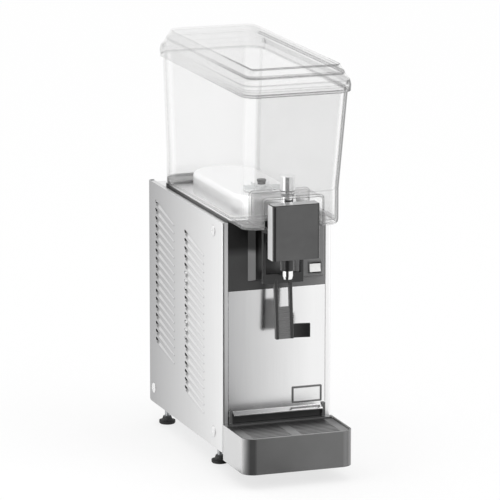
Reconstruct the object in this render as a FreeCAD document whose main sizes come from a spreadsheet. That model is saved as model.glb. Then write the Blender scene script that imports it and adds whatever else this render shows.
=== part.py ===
import FreeCAD, Part
import math
import os
import Sketcher

V = FreeCAD.Vector

# A narrow refrigerated drink dispenser with one clear tank, in millimetres.
# X runs to the right as seen from the front, the front faces -Y and Z is up.
# The origin lies on the table under the middle of the machine's outer box.

doc = FreeCAD.newDocument("DrinkDispenser")
sheet = doc.addObject("Spreadsheet::Sheet", "Sizes")

CELLS = {
    "Cabinet": {
        "body_width": 184,
        "body_depth": 366,
        "body_top": 408,
        "body_foot": 35,
        "panel_gauge": 1,
        "panel_return": 10,
        "panel_bend": 4,
        "panel_corner": 10,
        "panel_gap": 0.5,
        "flange_width": 7,
        "sheet_fit": 0.2,
        "rear_recess": 15,
        "pan_gauge": 1.5,
        "pan_flange": 28,
        "deck_gauge": 1.5,
        "deck_flange": 28,
    },
    "Louvres": {
        "louvre_pitch": 13.6,
        "louvre_slant": 12.6,
        "louvre_length": 89,
        "louvre_rise": 2.4,
        "louvre_height": 6.6,
        "louvre_end_height": 3,
        "louvre_end_rise": 0.9,
        "mouth_length": 18,
        "mouth_height": 5.2,
        "rear_column": 43.5,
        "rear_column_top": 30.5,
        "rear_column_count": 18,
        "front_column": 191,
        "front_column_top": 50.5,
        "front_column_count": 20,
    },
    "Front": {
        "front_split": 297,
        "fascia_gauge": 3,
        "split_gap": 0.4,
        "lap_height": 10,
        "lip_height": 101,
        "lip_reach": 9,
        "lip_drop": 4,
        "lip_hem": 2,
        "lip_margin": 17,
        "boss_left_margin": 42,
        "boss_left_slope": 11,
        "boss_right_margin": 12,
        "boss_right_slope": 5,
        "boss_low": 14,
        "boss_high": 8,
        "boss_reach": 9,
        "boss_draft": 3.5,
        "boss_wall": 3,
        "badge_margin": 16,
        "badge_width": 50.5,
        "badge_low": 106.5,
        "badge_height": 27,
        "badge_gauge": 1.2,
        "badge_rim": 2,
    },
    "Switch": {
        "switch_margin": 31.5,
        "switch_z": 327.5,
        "switch_width": 22,
        "switch_height": 20,
        "switch_rim": 1.5,
        "switch_proud": 1.5,
        "switch_depth": 20,
        "rocker_gap": 0.4,
        "rocker_axle": 5,
    },
    "Feet": {
        "foot_radius": 13.5,
        "foot_disc": 5.5,
        "foot_shoulder": 7.5,
        "foot_collar": 13,
        "collar_low_radius": 8.5,
        "collar_high_radius": 6.5,
        "stud_radius": 4,
        "stud_top": 54,
        "stud_fit": 0.05,
        "foot_inset": 20,
        "foot_front": 69,
        "foot_rear": 33,
        "nut_height": 6.5,
        "nut_size": 13,
    },
    "Tank": {
        "tank_foot": 409.5,
        "tank_rim": 628,
        "tank_wall": 3,
        "tank_margin_low": 10.5,
        "tank_margin_rim": 5,
        "tank_tuck": 2,
        "tank_round": 8,
        "nose_top": 465,
        "nose_reach": 76.5,
        "rim_reach": 101.5,
        "tank_back": 37,
        "rim_back": 35,
        "front_radius": 22,
        "back_radius": 32,
        "rim_proud": 2.5,
        "rim_height": 4,
        "floor_ring": 9,
        "recess_half": 48,
        "recess_top": 456,
        "recess_depth": 64,
        "recess_radius": 4,
        "gasket_width": 3,
        "collar_wall": 1.5,
        "collar_height": 2,
    },
    "Lid": {
        "lid_skirt": 3.5,
        "lid_bulge": 6,
        "lid_brow_rise": 9,
        "lid_brow_inset": 2,
        "lid_shoulder_rise": 10,
        "lid_shoulder_inset": 10,
        "lid_step_rise": 3,
        "lid_step_inset": 1,
        "lid_top_rise": 11,
        "lid_top_inset": 18,
        "lid_wall": 2.2,
        "lid_overhang": 5,
        "lid_seat_gap": 0.3,
        "lid_ledge": 3,
    },
    "Cold plate": {
        "dome_radius": 55,
        "dome_top": 441,
        "dome_wall": 1.5,
        "dome_edge": 9,
        "dome_front": 72,
        "dome_back": 128,
        "dome_flange": 10,
        "dome_seam": 0.3,
        "coil_radius": 4,
        "coil_inset": 13,
        "foam_depth": 46,
        "foam_side": 3,
        "foam_rear": 52,
    },
    "Agitator": {
        "impeller_radius": 29,
        "impeller_disc": 2,
        "vane_height": 7.5,
        "vane_gauge": 2.2,
        "vane_count": 6,
        "impeller_lift": 0.5,
        "hub_radius": 9,
        "cap_radius": 7.5,
        "cap_height": 8,
        "magnet_radius": 25,
        "magnet_height": 8,
        "magnet_gap": 2.5,
        "shaft_radius": 3,
        "agitator_motor_radius": 30,
        "agitator_motor_height": 40,
        "bracket_gauge": 2,
        "neck_radius": 16,
        "neck_height": 12,
        "neck_fit": 0.15,
    },
    "Valve": {
        "valve_reach": 48,
        "tube_radius": 9,
        "tube_bore": 6.5,
        "spout_tip": 322,
        "spout_taper": 1.5,
        "seat_radius": 12,
        "seat_height": 3,
        "seat_gasket": 1,
        "clamp_radius": 12,
        "clamp_height": 12,
        "shelf_hole": 9.4,
        "head_radius": 12,
        "head_height": 23,
        "head_edge": 0.8,
        "seal_height": 1.5,
        "seal_inset": 0.3,
        "stem_radius": 3,
        "eye_radius": 5,
        "eye_height": 9,
        "pivot_reach": 26,
        "pivot_z": 400,
        "pivot_radius": 2.5,
        "pin_fit": 0.05,
        "link_radius": 1.5,
        "link_slack": 0.7,
        "valve_lift": 3.8,
        "sleeve_radius": 11,
        "sleeve_low": 336,
        "sleeve_high": 374,
        "bridge_drop": 31,
        "bridge_gauge": 6,
        "ear_gauge": 4,
        "ear_gap": 0.5,
        "ear_radius": 7.5,
    },
    "Cover": {
        "cover_half": 39.5,
        "cover_front": 90.5,
        "cover_depth": 24,
        "cover_low": 361,
        "cover_high": 449,
        "cover_wall": 2.5,
        "cover_radius": 6,
        "cover_edge": 2,
    },
    "Lever": {
        "yoke_inner": 29,
        "yoke_width": 5,
        "yoke_low": 311,
        "yoke_bar": 16,
        "rail_inner": 9.7,
        "rail_width": 5,
        "rail_depth": 8,
        "arm_height": 8,
        "knee_back": 48,
        "knee_z": 320,
        "tip_back": 40,
        "tip_z": 222,
        "lever_boss": 7,
        "pad_height": 51,
        "pad_recess": 1.5,
        "pad_depth": 4,
        "rib_pitch": 6,
        "rib_count": 8,
        "rib_height": 3,
        "rib_proud": 1.2,
        "rest_radius": 180,
        "rest_wall": 3.5,
        "rest_height": 23,
        "rest_half": 42.5,
    },
    "Tray": {
        "tray_reach": 107.5,
        "tray_low": 24,
        "tray_high": 82,
        "tray_gap": 1.5,
        "tray_radius": 20,
        "tray_wall": 2.5,
        "tray_ledge": 3,
        "tray_floor": 3,
        "tray_shelf": 8,
        "ear_width": 5,
        "ear_inset": 11,
        "ear_top": 104,
        "peg_radius": 3,
        "peg_length": 10,
        "peg_z": 95,
        "peg_fit": 0.1,
        "grate_gauge": 3,
        "grate_sink": 2,
        "grate_fit": 0.5,
        "grate_slot": 4,
        "grate_pitch": 8,
        "grate_count": 10,
        "grate_bar": 10,
        "grate_centre_bar": 8,
        "tongue_half": 35,
        "tongue_reach": 66,
        "tongue_gauge": 2,
        "tongue_inside": 38,
        "tongue_fit": 0.3,
    },
    "Cooling": {
        "compressor_back": 90,
        "compressor_radius": 56,
        "compressor_height": 128,
        "compressor_cap": 26,
        "stub_radius": 5,
        "stub_height": 6,
        "stub_side": 34,
        "seam_proud": 2.5,
        "seam_height": 5,
        "mount_height": 10,
        "mount_radius": 9,
        "sole_margin": 22,
        "sole_half_depth": 55,
        "sole_gauge": 2.5,
        "condenser_front": 13,
        "condenser_depth": 40,
        "condenser_margin": 22,
        "condenser_height": 165,
        "fin_pitch": 7,
        "fin_groove": 4.4,
        "fin_count": 19,
        "end_plate": 1.5,
        "shroud_gauge": 1.5,
        "fan_z": 125,
        "fan_margin": 12,
        "fan_gap": 4,
        "fan_hub": 16,
        "fan_hub_depth": 16,
        "fan_blades": 5,
        "ring_depth": 22,
        "ring_wall": 1.5,
        "fan_motor_radius": 24,
        "fan_motor_depth": 36,
        "fan_shaft": 3,
        "stand_half": 18,
        "stand_foot": 30,
        "pipe_radius": 3,
        "pipe_bend": 12,
        "drier_radius": 9,
        "drier_length": 90,
        "drier_inset": 12,
        "drier_back": 110,
        "drier_rise": 40,
        "line_neck": 30,
        "line_drop": 50,
        "suction_drop": 60,
        "suction_slope": 50,
        "pipe_loop": 40,
    },
    "Rear": {
        "vent_width": 110,
        "vent_height": 5,
        "vent_pitch": 12,
        "vent_count": 14,
        "vent_low": 70,
        "knob_x": 55,
        "knob_z": 335,
        "knob_radius": 14,
        "knob_depth": 11,
        "spindle_radius": 3,
        "spindle_fit": 0.05,
        "thermostat_width": 44,
        "thermostat_height": 30,
        "thermostat_depth": 34,
        "gland_x": -60,
        "gland_z": 56,
        "gland_radius": 9,
        "gland_hole": 6,
        "gland_proud": 8,
        "box_width": 34,
        "box_length": 90,
        "box_height": 70,
        "box_low": 235,
        "box_front": 150,
    },
    "Fasteners": {
        "screw_head": 8.5,
        "screw_rise": 2.6,
        "screw_shank": 2,
        "screw_hole": 2.3,
        "screw_depth": 4,
        "screw_top": 20,
        "screw_low": 25,
        "screw_front": 42,
        "screw_rear": 24,
        "rear_screw_head": 4,
        "rear_screw_inset": 10,
        "rear_screw_end": 20,
    },
}


class Size:
    """A number together with the spreadsheet expression that gives it."""

    def __init__(self, value, text):
        self.value = float(value)
        self.text = text

    def __add__(self, other):
        other = as_size(other)
        return Size(self.value + other.value, f"({self.text} + {other.text})")

    def __radd__(self, other):
        return as_size(other) + self

    def __sub__(self, other):
        other = as_size(other)
        return Size(self.value - other.value, f"({self.text} - {other.text})")

    def __rsub__(self, other):
        return as_size(other) - self

    def __mul__(self, other):
        other = as_size(other)
        return Size(self.value * other.value, f"({self.text} * {other.text})")

    def __rmul__(self, other):
        return as_size(other) * self

    def __truediv__(self, other):
        other = as_size(other)
        return Size(self.value / other.value, f"({self.text} / {other.text})")

    def __neg__(self):
        return Size(-self.value, f"(0 - {self.text})")


def as_size(value):
    return value if isinstance(value, Size) else Size(value, f"({value!r})")


def sine(angle):
    return Size(math.sin(math.radians(angle.value)), f"sin({angle.text} * 1deg)")


def cosine(angle):
    return Size(math.cos(math.radians(angle.value)), f"cos({angle.text} * 1deg)")


class Namespace:
    """The driving sizes, read as d.name."""


d = Namespace()
row = 1
for group, cells in CELLS.items():
    sheet.set(f"A{row}", group)
    row += 1
    for alias, value in cells.items():
        sheet.set(f"A{row}", alias)
        sheet.set(f"B{row}", str(value))
        sheet.setAlias(f"B{row}", alias)
        setattr(d, alias, Size(value, f"Sizes.{alias}"))
        row += 1
doc.recompute()

AXIS_SIGN = {"XY": 1, "XZ": -1, "YZ": 1}
ORIGIN = FreeCAD.Rotation()


def bind(thing, prop, size):
    """Ties one property to the sheet."""
    size = as_size(size)
    thing.setExpression(prop, size.text)


def origin_feature(body, role):
    return next(f for f in body.Origin.OriginFeatures if f.Role == role)


def new_body(label):
    body = doc.addObject("PartDesign::Body", label)
    body.Label = label
    return body


class Drawing:
    """A sketch on a plane of its body, with every point tied to the sheet.

    plane is XY, XZ or YZ, and at is where it lies along Z, Y or X."""

    def __init__(self, body, plane, at=0):
        at = as_size(at)
        self.plane = plane
        self.sketch = body.newObject("Sketcher::SketchObject", f"{body.Name}_sketch")
        self.sketch.AttachmentSupport = [(origin_feature(body, f"{plane}_Plane"), "")]
        self.sketch.MapMode = "FlatFace"
        shift = at * AXIS_SIGN[plane]
        self.sketch.AttachmentOffset = FreeCAD.Placement(V(0, 0, shift.value), ORIGIN)
        bind(self.sketch, "AttachmentOffset.Base.z", shift)

    def rule(self, constraint, size=None):
        index = self.sketch.addConstraint(constraint)
        if size is not None:
            self.sketch.setExpression(f"Constraints[{index}]", size.text)

    def pin(self, geo, end, x, y):
        x, y = as_size(x), as_size(y)
        self.rule(Sketcher.Constraint("DistanceX", -1, 1, geo, end, x.value), x)
        self.rule(Sketcher.Constraint("DistanceY", -1, 1, geo, end, y.value), y)

    def line(self, start, end, construction=False):
        return self.sketch.addGeometry(Part.LineSegment(start, end), construction)

    def circle(self, x, y, radius):
        x, y, radius = as_size(x), as_size(y), as_size(radius)
        ring = Part.Circle(V(x.value, y.value, 0), V(0, 0, 1), radius.value)
        geo = self.sketch.addGeometry(ring, False)
        self.pin(geo, 3, x, y)
        self.rule(Sketcher.Constraint("Radius", geo, radius.value), radius)
        return self

    def polygon(self, points):
        """A closed outline of (x, y) or (x, y, radius) corners."""
        sharp = [V(as_size(p[0]).value, as_size(p[1]).value, 0) for p in points]
        radii = [as_size(p[2]) if len(p) > 2 else None for p in points]
        count = len(points)
        rounded = any(radii)
        guide = [self.line(sharp[i], sharp[(i + 1) % count], rounded) for i in range(count)]
        for i in range(count):
            after = (i + 1) % count
            self.rule(Sketcher.Constraint("Coincident", guide[i], 2, guide[after], 1))
            self.pin(guide[i], 1, points[i][0], points[i][1])
        if rounded:
            self.round_off(sharp, radii, guide)
        return self

    def round_off(self, sharp, radii, guide):
        """Real edges on the guide lines, joined by tangent arcs."""
        count = len(sharp)
        before, after, centres = [], [], []
        for i in range(count):
            corner = sharp[i]
            back = (sharp[i - 1] - corner).normalize()
            ahead = (sharp[(i + 1) % count] - corner).normalize()
            reach, centre = 0.0, None
            if radii[i]:
                half = back.getAngle(ahead) / 2
                reach = radii[i].value / math.tan(half)
                centre = corner + (back + ahead).normalize() * (radii[i].value / math.sin(half))
            before.append(corner + back * reach)
            after.append(corner + ahead * reach)
            centres.append(centre)
        edges = [self.line(after[i], before[(i + 1) % count]) for i in range(count)]
        for i in range(count):
            edge, last = edges[i], edges[i - 1]
            if not radii[i]:
                self.rule(Sketcher.Constraint("Coincident", last, 2, edge, 1))
                self.rule(Sketcher.Constraint("Coincident", edge, 1, guide[i], 1))
                continue
            self.rule(Sketcher.Constraint("PointOnObject", last, 2, guide[i - 1]))
            self.rule(Sketcher.Constraint("PointOnObject", edge, 1, guide[i]))
            middle = centres[i] + (sharp[i] - centres[i]).normalize() * radii[i].value
            arc = self.sketch.addGeometry(Part.Arc(before[i], middle, after[i]), False)
            forward = (self.sketch.getPoint(arc, 1) - before[i]).Length < 1e-6
            first, second = (1, 2) if forward else (2, 1)
            self.rule(Sketcher.Constraint("Tangent", last, 2, arc, first))
            self.rule(Sketcher.Constraint("Tangent", edge, 1, arc, second))
            self.rule(Sketcher.Constraint("Radius", arc, radii[i].value), radii[i])

    def box(self, left, right, low, high, radius=None):
        """A rectangle, with one radius or one for each corner from low left on."""
        corners = [(left, low), (right, low), (right, high), (left, high)]
        if radius is None:
            return self.polygon(corners)
        if not isinstance(radius, (list, tuple)):
            radius = [radius] * 4
        return self.polygon([c + ((r,) if r is not None else ()) for c, r in zip(corners, radius)])

    def band(self, x, y, inner, outer, half):
        """A strip between two arcs about (x, y), cut off at x - half and x + half."""
        inner, outer, half = as_size(inner), as_size(outer), as_size(half)
        centre = V(as_size(x).value, as_size(y).value, 0)
        arcs = []
        for radius in (inner, outer):
            sweep = math.asin(half.value / radius.value)
            start, end = math.pi / 2 - sweep, math.pi / 2 + sweep
            ring = Part.Circle(centre, V(0, 0, 1), radius.value)
            geo = self.sketch.addGeometry(Part.ArcOfCircle(ring, start, end), False)
            self.pin(geo, 3, x, y)
            self.rule(Sketcher.Constraint("Radius", geo, radius.value), radius)
            for end_index, edge in ((1, x + half), (2, x - half)):
                rule = Sketcher.Constraint("DistanceX", -1, 1, geo, end_index, as_size(edge).value)
                self.rule(rule, as_size(edge))
            arcs.append(geo)
        for end_index in (1, 2):
            start = self.sketch.getPoint(arcs[0], end_index)
            side = self.line(start, self.sketch.getPoint(arcs[1], end_index))
            self.rule(Sketcher.Constraint("Coincident", side, 1, arcs[0], end_index))
            self.rule(Sketcher.Constraint("Coincident", side, 2, arcs[1], end_index))
        return self


def extrude(kind, body, drawing, length, toward, taper=None):
    feature = body.newObject(f"PartDesign::{kind}", f"{body.Name}_{kind.lower()}")
    feature.Profile = drawing.sketch
    natural = AXIS_SIGN[drawing.plane] * (1 if kind == "Pad" else -1)
    if toward == 0:
        feature.Midplane = True
    else:
        feature.Reversed = toward != natural
    bind(feature, "Length", length)
    if taper is not None:
        bind(feature, "TaperAngle", taper)
    drawing.sketch.Visibility = False
    return feature


def pad(body, drawing, length, toward=1):
    """Adds the drawing's area, along the axis square to it, up (1), down (-1) or both (0)."""
    return extrude("Pad", body, drawing, length, toward)


def pocket(body, drawing, length, toward=1):
    """Cuts the drawing's area out of what the body has so far."""
    doc.recompute()
    volume = body.Shape.Volume
    feature = extrude("Pocket", body, drawing, length, toward)
    doc.recompute()
    if body.Shape.Volume > volume - 1e-6:
        raise RuntimeError(f"a pocket of {body.Label} cuts nothing")
    return feature


def revolve(body, drawing, axis="V_Axis"):
    feature = body.newObject("PartDesign::Revolution", f"{body.Name}_turned")
    feature.Profile = drawing.sketch
    feature.ReferenceAxis = (drawing.sketch, [axis])
    feature.Angle = 360
    drawing.sketch.Visibility = False
    return feature


def loft(body, drawings, cut=False):
    kind = "SubtractiveLoft" if cut else "AdditiveLoft"
    feature = body.newObject(f"PartDesign::{kind}", f"{body.Name}_loft")
    feature.Profile = drawings[0].sketch
    feature.Sections = [drawing.sketch for drawing in drawings[1:]]
    feature.Ruled = True
    return feature


def edge_fillet(body, radius, wanted):
    """Rounds the edges of the body's tip that wanted(edge) picks."""
    doc.recompute()
    tip = body.Tip
    names = [f"Edge{i + 1}" for i, edge in enumerate(tip.Shape.Edges) if wanted(edge)]
    feature = body.newObject("PartDesign::Fillet", f"{body.Name}_fillet")
    feature.Base = (tip, names)
    bind(feature, "Radius", radius)
    return feature


def row_of(body, originals, drawing, axis, length, count, forward=True):
    """Repeats features along an axis of a drawing."""
    feature = body.newObject("PartDesign::LinearPattern", f"{body.Name}_row")
    feature.Originals = originals
    feature.Direction = (drawing.sketch, [axis])
    feature.Reversed = not forward
    bind(feature, "Length", length)
    bind(feature, "Occurrences", count)
    body.Tip = feature
    return feature


def ring_of(body, originals, drawing, count):
    """Repeats features round the drawing's own normal."""
    feature = body.newObject("PartDesign::PolarPattern", f"{body.Name}_ring")
    feature.Originals = originals
    feature.Axis = (drawing.sketch, ["N_Axis"])
    feature.Angle = 360
    bind(feature, "Occurrences", count)
    body.Tip = feature
    return feature


def place(thing, x=0, y=0, z=0, turn=ORIGIN):
    """Puts a body where the sheet says."""
    thing.Placement = FreeCAD.Placement(V(*(as_size(c).value for c in (x, y, z))), turn)
    for name, size in (("x", x), ("y", y), ("z", z)):
        bind(thing, f"Placement.Base.{name}", size)


ALONG_Y = FreeCAD.Rotation(V(1, 0, 0), -90)


def at_height(z):
    """Picks the edges that lie in the plane at height z."""
    z = as_size(z).value
    return lambda edge: abs(edge.BoundBox.ZMin - z) < 1e-3 and abs(edge.BoundBox.ZMax - z) < 1e-3


# Planes that several pieces share.
half_body = d.body_width / 2
front_y = (d.tray_reach - d.body_depth) / 2
rear_y = (d.body_depth + d.tray_reach) / 2
panel_top = d.body_top
pan_low = d.body_foot + d.panel_gauge
pan_top = pan_low + d.pan_gauge
sheet_back = front_y + d.panel_gauge
boss_face = front_y - d.boss_reach
kick_back = sheet_back + d.panel_gauge
front_half = half_body - d.panel_return - d.panel_gap
inner_half = half_body - d.panel_gauge - d.sheet_fit
bend_half = half_body - d.panel_bend - d.sheet_fit
rear_face = rear_y - d.rear_recess
rear_inner = rear_face - d.panel_gauge
deck_top = d.body_top - d.panel_gauge
deck_low = deck_top - d.deck_gauge
valve_y = front_y - d.valve_reach
pivot_y = valve_y - d.pivot_reach
bridge_low = d.recess_top - d.bridge_drop
dome_front_y = front_y + d.dome_front
dome_back_y = rear_y - d.dome_back
tank_front_low = front_y - d.nose_reach
tank_front_rim = front_y - d.rim_reach
tank_back_low = rear_y - d.tank_back
tank_back_rim = rear_y - d.rim_back
tank_half_low = half_body - d.tank_margin_low
tank_half_foot = tank_half_low - d.tank_tuck
tank_half_rim = half_body - d.tank_margin_rim
lid_half = tank_half_rim + d.lid_overhang
lid_low = d.tank_rim - d.lid_skirt
lid_widest = d.tank_rim + d.lid_bulge
lid_brow = lid_widest + d.lid_brow_rise
lid_shoulder = lid_brow + d.lid_shoulder_rise
lid_step = lid_shoulder + d.lid_step_rise
lid_top = lid_step + d.lid_top_rise
switch_x = half_body - d.switch_margin
sole_half = half_body - d.sole_margin
condenser_half = half_body - d.condenser_margin
fan_radius = condenser_half - d.fan_margin
foot_x = half_body - d.foot_inset
foot_front_y = front_y + d.foot_front
foot_rear_y = rear_y - d.foot_rear
tray_rear = front_y - d.tray_gap
tray_front = front_y - d.tray_reach
peg_x = half_body - d.ear_inset - d.ear_width / 2
knob_y = rear_face


def louvre_column(body, back, top, count):
    """One column of slanting louvres: a mouth at the rear end and a hood that runs out forward."""
    mouth_y = rear_y - back
    mouth_z = d.body_top - top
    along_y, along_z = cosine(d.louvre_slant), sine(d.louvre_slant)
    tip = d.mouth_length / 2
    flat = tip - d.mouth_height / 2
    side = d.mouth_height / 2

    def spot(run, rise):
        return (
            mouth_y + run * along_y - rise * along_z,
            mouth_z + run * along_z + rise * along_y,
        )

    mouth = Drawing(body, "YZ", -half_body)
    mouth.polygon(
        [
            spot(-tip, 0),
            spot(-flat, -side),
            spot(flat, -side),
            spot(tip, 0),
            spot(flat, side),
            spot(-flat, side),
        ]
    )
    cut = pocket(body, mouth, d.panel_gauge * 2, 1)
    hood_sections = []
    sections = (
        (d.mouth_height / 2, d.louvre_height, d.louvre_rise),
        (d.louvre_length, d.louvre_end_height, d.louvre_end_rise),
    )
    for run, height, rise in sections:
        y, z = spot(-run, 0)
        section = Drawing(body, "XZ", y)
        root = -half_body + d.panel_gauge / 2
        section.polygon(
            [
                (root, z - height / 2),
                (root, z + height / 2),
                (-half_body - rise, z - height * 0.4),
            ]
        )
        hood_sections.append(section)
    hood = loft(body, hood_sections)
    row_of(body, [cut, hood], mouth, "V_Axis", d.louvre_pitch * (count - 1), count, forward=False)


def screw_spots():
    """Where the three screws of a side panel lie, as (y, z)."""
    low, high = d.body_foot + d.screw_low, d.body_top - d.screw_top
    front, back = front_y + d.screw_front, rear_y - d.screw_rear
    return [(front, low), (front, high), (back, low)]


def side_panel_left():
    """Stainless side, bent round the front and rear edges, with flanges top and bottom."""
    body = new_body("side_panel_left")
    g, bend = d.panel_gauge, d.panel_bend
    edge = -half_body + d.panel_return
    plan = Drawing(body, "XY", d.body_foot)
    plan.polygon(
        [
            (edge, front_y),
            (-half_body, front_y, bend),
            (-half_body, rear_y, bend),
            (edge, rear_y),
            (edge, rear_y - g),
            (-half_body + g, rear_y - g, bend - g),
            (-half_body + g, front_y + g, bend - g),
            (edge, front_y + g),
        ]
    )
    pad(body, plan, d.body_top - d.body_foot)
    trim = Drawing(body, "YZ", -half_body - d.panel_return)
    margin = d.panel_return
    trim.box(front_y - margin, rear_y + margin, d.body_foot - margin, d.body_top + margin)
    trim.box(front_y - g, rear_y, d.body_foot, d.body_top + g, [None, d.panel_corner, None, None])
    pocket(body, trim, d.panel_return * 3, 1)
    for z in (d.body_foot, d.body_top - g):
        flange = Drawing(body, "XY", z)
        ends = d.panel_corner + g
        flange.box(-half_body + g, -half_body + g + d.flange_width, front_y + g, rear_y - ends)
        pad(body, flange, g)
    holes = Drawing(body, "YZ", -half_body)
    for y, z in screw_spots():
        holes.circle(y, z, d.screw_hole)
    pocket(body, holes, g * 2, 1)
    louvre_column(body, d.rear_column, d.rear_column_top, d.rear_column_count)
    louvre_column(body, d.front_column, d.front_column_top, d.front_column_count)
    return body


def side_panel_right(left):
    """The same panel for the other side."""
    mirror = doc.addObject("Part::Mirroring", "side_panel_right")
    mirror.Source = left
    mirror.Normal = V(1, 0, 0)
    mirror.Label = "side_panel_right"
    return mirror


def front_panel():
    """Stainless front between the returns, with a drip lip folded out over the tray."""
    body = new_body("front_panel")
    g = d.panel_gauge
    top = d.front_split - d.split_gap
    sheet_outline = Drawing(body, "XZ", sheet_back)
    sheet_outline.box(-front_half, front_half, d.lip_height, top)
    pad(body, sheet_outline, g, -1)
    low = d.lip_height - d.lip_drop
    lip = Drawing(body, "YZ", 0)
    lip.polygon(
        [
            (front_y, d.lip_height),
            (front_y - d.lip_reach, low),
            (front_y - d.lip_reach, low - d.lip_hem),
            (front_y - d.lip_reach + g, low - d.lip_hem),
            (front_y - d.lip_reach + g, low - g / 2),
            (sheet_back, d.lip_height - g),
            (sheet_back, d.lip_height + g),
            (front_y, d.lip_height + g),
        ]
    )
    pad(body, lip, (half_body - d.lip_margin) * 2, 0)
    return body


def kick_panel():
    """Lower front behind the tray, with the peg holes and the slot for the tray's tongue."""
    body = new_body("kick_panel")
    outline = Drawing(body, "XZ", kick_back)
    outline.box(-bend_half, bend_half, pan_low, d.lip_height + d.lap_height)
    pad(body, outline, d.panel_gauge, -1)
    openings = Drawing(body, "XZ", kick_back)
    for side in (-1, 1):
        openings.circle(peg_x * side, d.peg_z, d.peg_radius + d.peg_fit)
    fit = d.tongue_fit
    openings.box(
        -d.tongue_half - fit, d.tongue_half + fit, pan_top - fit, pan_top + d.tongue_gauge + fit
    )
    pocket(body, openings, d.panel_gauge * 2, -1)
    return body


def rear_screw_spots():
    """Where the four screws of the rear panel lie, as (x, z)."""
    inset = inner_half - d.rear_screw_inset
    ends = (pan_top + d.rear_screw_end, deck_low - d.rear_screw_end)
    return [(side * inset, z) for side in (-1, 1) for z in ends]


def rear_panel():
    """Set-back rear wall with vents, and holes for the cord gland and the thermostat."""
    body = new_body("rear_panel")
    outline = Drawing(body, "XZ", rear_inner)
    outline.box(-inner_half, inner_half, pan_top, deck_low)
    pad(body, outline, d.panel_gauge, 1)
    holes = Drawing(body, "XZ", rear_inner)
    holes.circle(d.gland_x, d.gland_z, d.gland_radius - 1)
    holes.circle(d.knob_x, d.knob_z, d.spindle_radius + 1)
    for x, z in rear_screw_spots():
        holes.circle(x, z, d.screw_hole)
    pocket(body, holes, d.panel_gauge * 2, 1)
    vent = Drawing(body, "XZ", rear_inner)
    half = d.vent_width / 2
    edge = d.vent_height / 2 - 0.1
    vent.box(-half, half, d.vent_low + 20, d.vent_low + 20 + d.vent_height, edge)
    cut = pocket(body, vent, d.panel_gauge * 2, 1)
    row_of(body, [cut], vent, "V_Axis", d.vent_pitch * (d.vent_count - 1), d.vent_count)
    return body


def side_flanges(body, gauge, low, high):
    """Turned edges along both side panels, bored for the panels' screws."""
    for left in (-inner_half, inner_half - gauge):
        flange = Drawing(body, "YZ", left)
        flange.box(kick_back + d.panel_bend, rear_inner - d.panel_gap, low, high)
        pad(body, flange, gauge, 1)
    holes = Drawing(body, "YZ", -half_body)
    for y, z in screw_spots():
        if low.value < z.value < high.value:
            holes.circle(y, z, d.screw_hole)
    pocket(body, holes, half_body * 2, 1)


def base_pan():
    """Floor of the cabinet with turned-up flanges, bored for the four feet."""
    body = new_body("base_pan")
    floor = Drawing(body, "XY", pan_low)
    bend = d.panel_bend
    floor.box(-inner_half, inner_half, kick_back, rear_inner, [bend, bend, None, None])
    pad(body, floor, d.pan_gauge)
    side_flanges(body, d.pan_gauge, pan_top - 0.1, pan_top + d.pan_flange)
    holes = Drawing(body, "XY", pan_low)
    for x in (-foot_x, foot_x):
        for y in (foot_front_y, foot_rear_y):
            holes.circle(x, y, d.stud_radius + d.stud_fit)
    pocket(body, holes, d.pan_gauge * 2, 1)
    return body


def capsule(drawing, radius):
    """The rounded outline of the cold plate, grown or shrunk to a radius."""
    low, high = dome_front_y - radius, dome_back_y + radius
    drawing.box(-radius, radius, low, high, radius - 0.02)
    return drawing


def deck():
    """Stainless top plate under the side flanges, open for the cold plate's dome."""
    body = new_body("deck")
    outline = Drawing(body, "XY", deck_low)
    front = front_y + d.fascia_gauge + d.panel_gap
    outline.box(-inner_half, inner_half, front, rear_y - d.rear_recess)
    pad(body, outline, d.deck_gauge)
    side_flanges(body, d.deck_gauge, deck_low - d.deck_flange, deck_low + 0.1)
    opening = capsule(Drawing(body, "XY", deck_low), d.dome_radius + d.dome_seam)
    pocket(body, opening, d.deck_gauge * 2, 1)
    return body


def fascia():
    """Black moulded front with a raised middle, lapped behind the returns and the front panel."""
    body = new_body("fascia")
    low = d.front_split
    face = Drawing(body, "XZ", sheet_back)
    face.box(-front_half, front_half, low, panel_top)
    pad(body, face, d.panel_gauge, -1)
    lap = Drawing(body, "XZ", front_y + d.fascia_gauge)
    lap.box(-bend_half, bend_half, low - d.lap_height, deck_top - d.sheet_fit)
    pad(body, lap, d.fascia_gauge - d.panel_gauge, -1)
    left, right = d.boss_left_margin - half_body, half_body - d.boss_right_margin
    boss_low, boss_high = low + d.boss_low, deck_low - d.boss_high

    def block(y, wall, slope):
        """The raised middle's outline at y, inside by the wall; slope is 1 at its tip, else 0."""
        outline = Drawing(body, "XZ", y)
        draft = d.boss_draft * slope + wall
        outline.box(
            left + d.boss_left_slope * slope + wall,
            right - d.boss_right_slope * slope - wall,
            boss_low + draft,
            boss_high - draft,
        )
        return outline

    wall = d.boss_wall
    loft(body, [block(sheet_back, 0, 0), block(boss_face, 0, 1)])
    inner_face = boss_face + wall
    loft(body, [block(front_y + d.fascia_gauge, wall, 0), block(inner_face, wall, 1)], cut=True)
    opening = Drawing(body, "XZ", inner_face)
    half_w = d.switch_width / 2 - d.switch_rim / 2
    half_h = d.switch_height / 2 - d.switch_rim / 2
    opening.box(switch_x - half_w, switch_x + half_w, d.switch_z - half_h, d.switch_z + half_h)
    pocket(body, opening, wall * 2, -1)
    return body


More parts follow.
